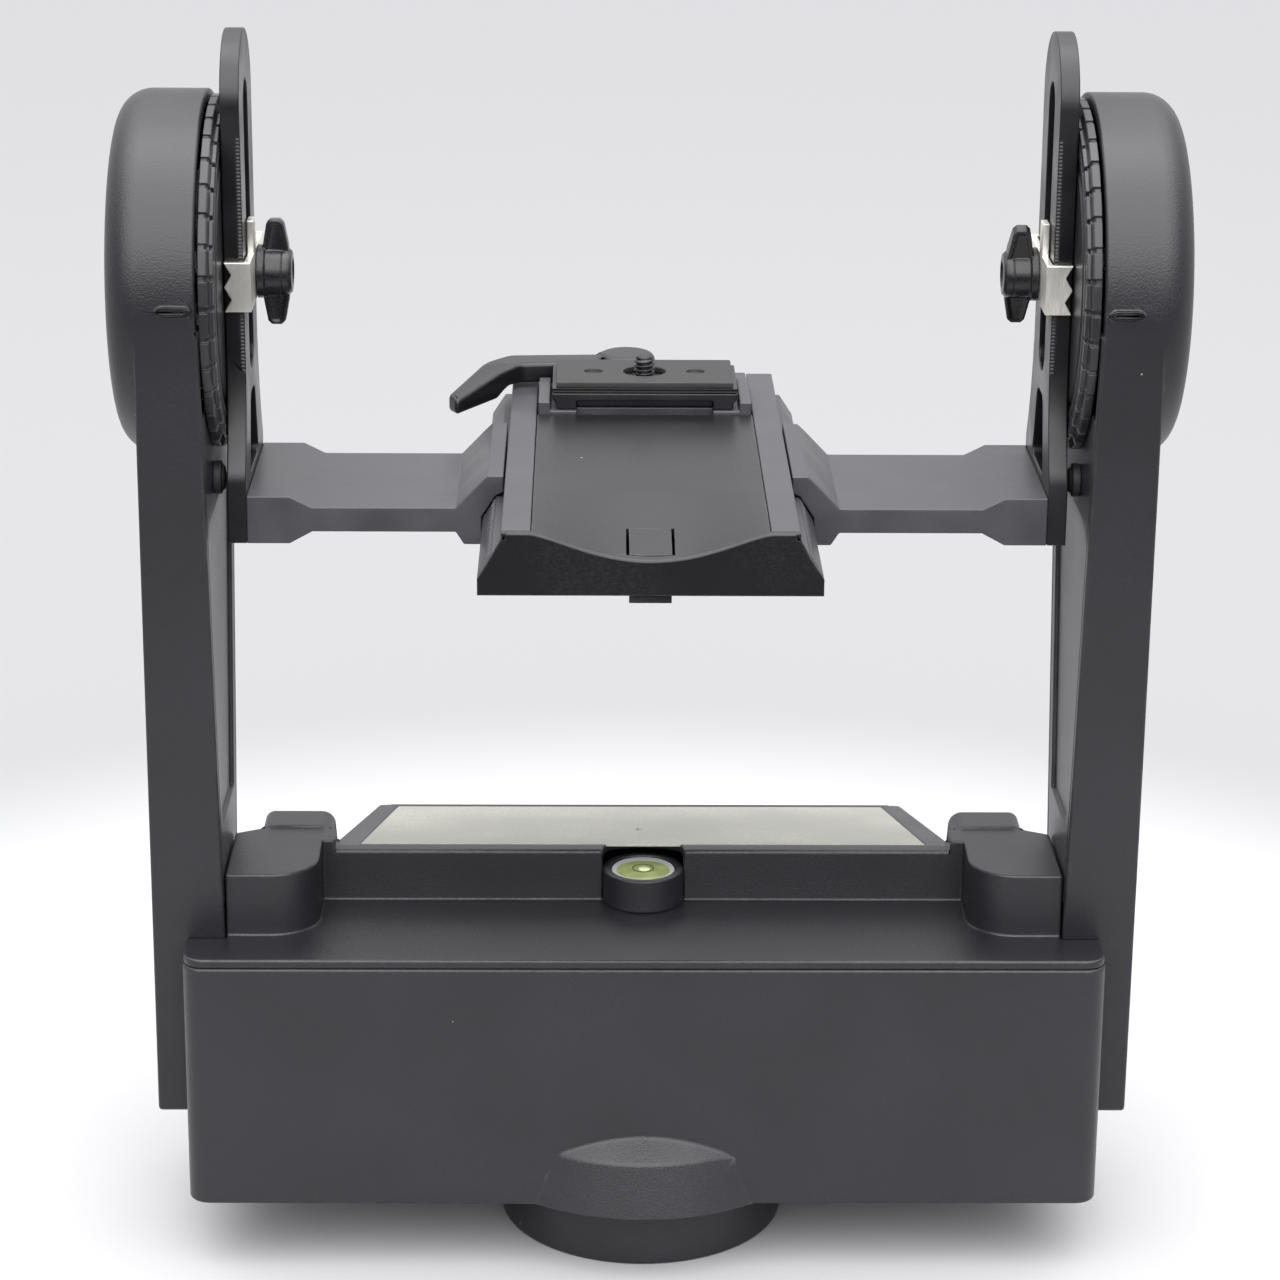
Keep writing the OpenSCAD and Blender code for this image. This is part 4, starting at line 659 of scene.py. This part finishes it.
# ---------------------------------------------------------------- wing knobs
# Moulded knobs with a round hub and two tapered wings, each wing with a
# shallow panel in its faces. They screw down on the studs.
knob_black = moulded("knob_plastic", linear(22, 21, 23), 0.28, size=0.0005, bump=0.03, specks=0.01,
                     rubbed=0.12)
knob_face = 106.5
for side, way, turn in (("left", -1, 0.0), ("right", 1, math.radians(18))):
    hub = spun([(3.16, 0), (7.3, 0), (7.3, 1.7), (6.9, 2.1), (6.6, 2.3), (6.5, 6.4), (6.2, 6.6),
                (6.5, 6.8), (6.4, 8.4), (5.6, 9.3), (3.8, 9.5), (3.4, 9.0), (3.16, 8.6)], 48, True)
    wings = bmesh.new()
    for up in (1, -1):
        outline = [(1.2, 2), (1.5, 7.4), (2.5, 13.4), (3.5, 14.5), (6.2, 14.5), (7.3, 13.4),
                   (8.4, 7.4), (8.8, 2)]
        ends = [[wings.verts.new((up * r * MM, s * (3.0 - 0.075 * r) * MM, x * MM)) for x, r in outline]
                for s in (1, -1)]
        faces = [wings.faces.new(ends[0]), wings.faces.new(ends[1][::-1])]
        for k in range(len(outline)):
            n = (k + 1) % len(outline)
            wings.faces.new((ends[0][k], ends[1][k], ends[1][n], ends[0][n]))
        bmesh.ops.recalc_face_normals(wings, faces=wings.faces)
        bmesh.ops.inset_region(wings, faces=faces, thickness=1.0 * MM)
        bmesh.ops.inset_region(wings, faces=faces, thickness=0.35 * MM, depth=-0.4 * MM)
    whole = bmesh.new()
    whole.from_mesh(joined("knob", hub, eased(wings, "wings", 0.35)))
    # Local Z runs from the face towards the middle of the head
    bmesh.ops.rotate(whole, cent=(0, 0, 0), matrix=Matrix.Rotation(-math.pi / 2, 3, "Y"), verts=whole.verts)
    bmesh.ops.rotate(whole, cent=(0, 0, 0), matrix=Matrix.Rotation(turn, 3, "X"), verts=whole.verts)
    if way < 0:
        bmesh.ops.scale(whole, vec=(-1, 1, 1), verts=whole.verts)
        bmesh.ops.reverse_faces(whole, faces=whole.faces)
    bmesh.ops.translate(whole, vec=Vector((way * knob_face, 0, tilt_axis_z)) * MM, verts=whole.verts)
    name = "wing_knob_" + side
    shown(name, plain(whole, name), side + "_knob", knob_black, ["knob_" + side])

# ---------------------------------------------------------------- cradle
# Two slotted aluminium side plates bolted to a milled crossbar. The plates
# are satin black, and the crossbar is bead-blasted and anodised dark grey.
even = (1.0, 1.0, 1.0)
blast = machined("anodised_aluminium", linear(60, 60, 64), 0.40, stretch=even, scale=1500.0,
                 bump=0.12, metal=0.2, drift=0.15)
satin = machined("satin_aluminium", linear(16, 16, 18), 0.32, stretch=even, scale=1500.0,
                 bump=0.1, metal=0.1, drift=0.15)
for side in ("left", "right"):
    dressed("cradle_plate_" + side, "side_plate_" + side, "cradle", satin, 0.35)
dressed("cradle_bar", "crossbar", "cradle", blast, 0.35)
kept("crossbar_screws", dark_steel)

# ---------------------------------------------------------------- camera tray
# An aluminium slide with two rails, a moulded cover with a thumb scoop, and
# the quick-release clamp at its back with its plate, pad, screw and lever.
dressed("slide_rails", "tray_frame", "tray", blast, 0.3)
tray_plastic = moulded("tray_plastic", linear(15, 15, 18), 0.36, size=0.0006, bump=0.1)


def slab(across, along, top, bottom, left_out=()):
    """A solid between two heights over a grid in mm, less the boxes of left_out."""
    form = bmesh.new()
    seen = {}

    def corner(x, y, rule):
        key = (x, y, rule is top)
        if key not in seen:
            seen[key] = form.verts.new((x * MM, y * MM, (rule(x, y) if callable(rule) else rule) * MM))
        return seen[key]

    cells = {}
    for i in range(len(across) - 1):
        for k in range(len(along) - 1):
            x, y = (across[i] + across[i + 1]) / 2, (along[k] + along[k + 1]) / 2
            cells[i, k] = not any(a < x < b and c < y < d for a, b, c, d in left_out)
    for (i, k), full in cells.items():
        if not full:
            continue
        ring = [(across[i], along[k]), (across[i + 1], along[k]), (across[i + 1], along[k + 1]),
                (across[i], along[k + 1])]
        form.faces.new([corner(x, y, top) for x, y in ring])
        form.faces.new([corner(x, y, bottom) for x, y in ring[::-1]])
        for n, beside in enumerate(((i, k - 1), (i + 1, k), (i, k + 1), (i - 1, k))):
            if not cells.get(beside, False):
                (x0, y0), (x1, y1) = ring[n], ring[(n + 1) % 4]
                form.faces.new((corner(x1, y1, top), corner(x0, y0, top), corner(x0, y0, bottom),
                                corner(x1, y1, bottom)))
    bmesh.ops.recalc_face_normals(form, faces=form.faces)
    return form


def spaced(low, high, count, *also):
    """Even steps between two values, with some values of their own."""
    return sorted(set([round(low + (high - low) * k / count, 3) for k in range(count + 1)] + list(also)))


tray_front, cap_back, tray_top, tray_low = -84.0, -81.6, 232.0, 215.2
flank_out, flank_in, shoulder_z, flank_top = 44.8, 41.0, 219.6, 225.5
scoop_depth, scoop_half, scoop_long = 7.4, 31.5, 42.0


def wave(x, y):
    """The cover's top: level at the sides, with a thumb scoop that fades out to the back."""
    deep = max(0.0, 1 - (y - tray_front) / scoop_long) ** 1.1
    return tray_top - scoop_depth * deep * max(0.0, 1 - (x / scoop_half) ** 2) ** 1.45


def cap_top(x, y):
    """The front cap follows the rails' notched sides, then the wave."""
    far = abs(x)
    if far >= flank_in:
        return flank_top - (flank_top - shoulder_z) * (far - flank_in) / (flank_out - flank_in)
    return flank_top if far > wave_end else wave(x, y)


def lipped(x, y):
    """The cap's top with a small chamfer along its front edge."""
    return cap_top(x, y) - (lip if y < tray_front + 0.2 and abs(x) < wave_half else 0.0)


lip, wave_half, wave_end = 0.45, 37.4, 37.45
flap_half, flap_back, cover_back = 6.3, -66.3, 35.0
breaks = [wave_half, wave_end, flank_in, flank_out]
sides = [-x for x in breaks[::-1]] + spaced(-37.2, 37.2, 62) + breaks
cap = slab(sides, [tray_front, tray_front + 0.4, cap_back], lipped, tray_low)
ears = [block((s * 38.0 - 0.6, tray_front, 230.0), (s * 38.0 + 0.6, cap_back, tray_top))
        for s in (-1, 1)]
deck = slab(spaced(-30.8, 30.8, 56, -flap_half, flap_half),
            spaced(cap_back, -42, 22, flap_back) + [0.0, cover_back], wave, lambda x, y: wave(x, y) - 2.2,
            [(-flap_half, flap_half, cap_back, flap_back)])
ribs = [block((s * 29.8 - 1, cap_back, 218.2), (s * 29.8 + 1, cover_back, 230.5))
        for s in (-1, 1)]
cover = joined("slide_cover", plain(cap, "cap", 30), plain(deck, "deck", 30),
               *[eased(e, "ear", 0.2) for e in ears], *ribs, sharp=22)
shown("slide_cover", cover, "tray", tray_plastic, ["tray_cover"])
# Fine scales are cut in the rails' sloping flanks
scale_ink = moulded("scale_ink", linear(150, 150, 153), 0.5, bump=0.0, specks=0.0, rubbed=0.0)
run, climb = 0.541, 0.841
scales = []
for way in (-1, 1):
    for low, count, pace in ((4.7, 111, 1.0), (3.4, 23, 5.0)):
        tick = block((low, -79.1, 0.0), (6.3, -78.92, 0.03))
        for vert in tick.verts:
            along, proud = vert.co.x, vert.co.z
            vert.co.x = way * (flank_out * MM - run * along + climb * proud)
            vert.co.z = shoulder_z * MM + climb * along + run * proud
        bmesh.ops.recalc_face_normals(tick, faces=tick.faces)
        scales.append(repeated(plain(tick, "tick"), scale_ink, count, step=(0, pace, 0)))
shown("rail_scales", joined("rail_scales", *scales), "tray", scale_ink)
tongue_half, tongue_front = 5.55, -81.0
tongue = slab(spaced(-tongue_half, tongue_half, 12), spaced(tongue_front, -66.34, 12), wave,
              lambda x, y: wave(x, y) - 2.0)
leg = block((-tongue_half, tongue_front, 212.2), (tongue_half, -79.5, 224.0))
latch = joined("slide_latch", plain(tongue, "tongue", 30), eased(leg, "leg", 0.25), sharp=22)
shown("slide_latch", latch, "latch", tray_plastic, ["tray_latch"])
dressed("clamp_body", "clamp_base", "tray", blast, 0.35)
dressed("quick_plate", "release_plate", "plate", dark_steel, 0.3)
pad = moulded("pad_rubber", linear(40, 39, 38), 0.7, size=0.0005, bump=0.4)
dressed("quick_plate_pad", "plate_pad", "plate", pad, 0.3)
stud = [(0, 233.35), (6.8, 233.35), (7.2, 233.7), (7.2, 235.5), (6.8, 235.85), (2.5, 235.85),
        (2.5, 239.5), (2.3, 239.6)]
stud += thread(3.1, 0.75, 1.27, 239.6, 245.2) + [(2.0, 245.5), (0, 245.5)]
stud = moved(spun(stud, 64), at=(0, 51, 0))
shown("mount_screw", plain(stud, "mount_screw"), "screw", dark_steel, ["camera_screw"])
dressed("release_lever", "clamp_lever", "lever", tray_plastic, 1.2)
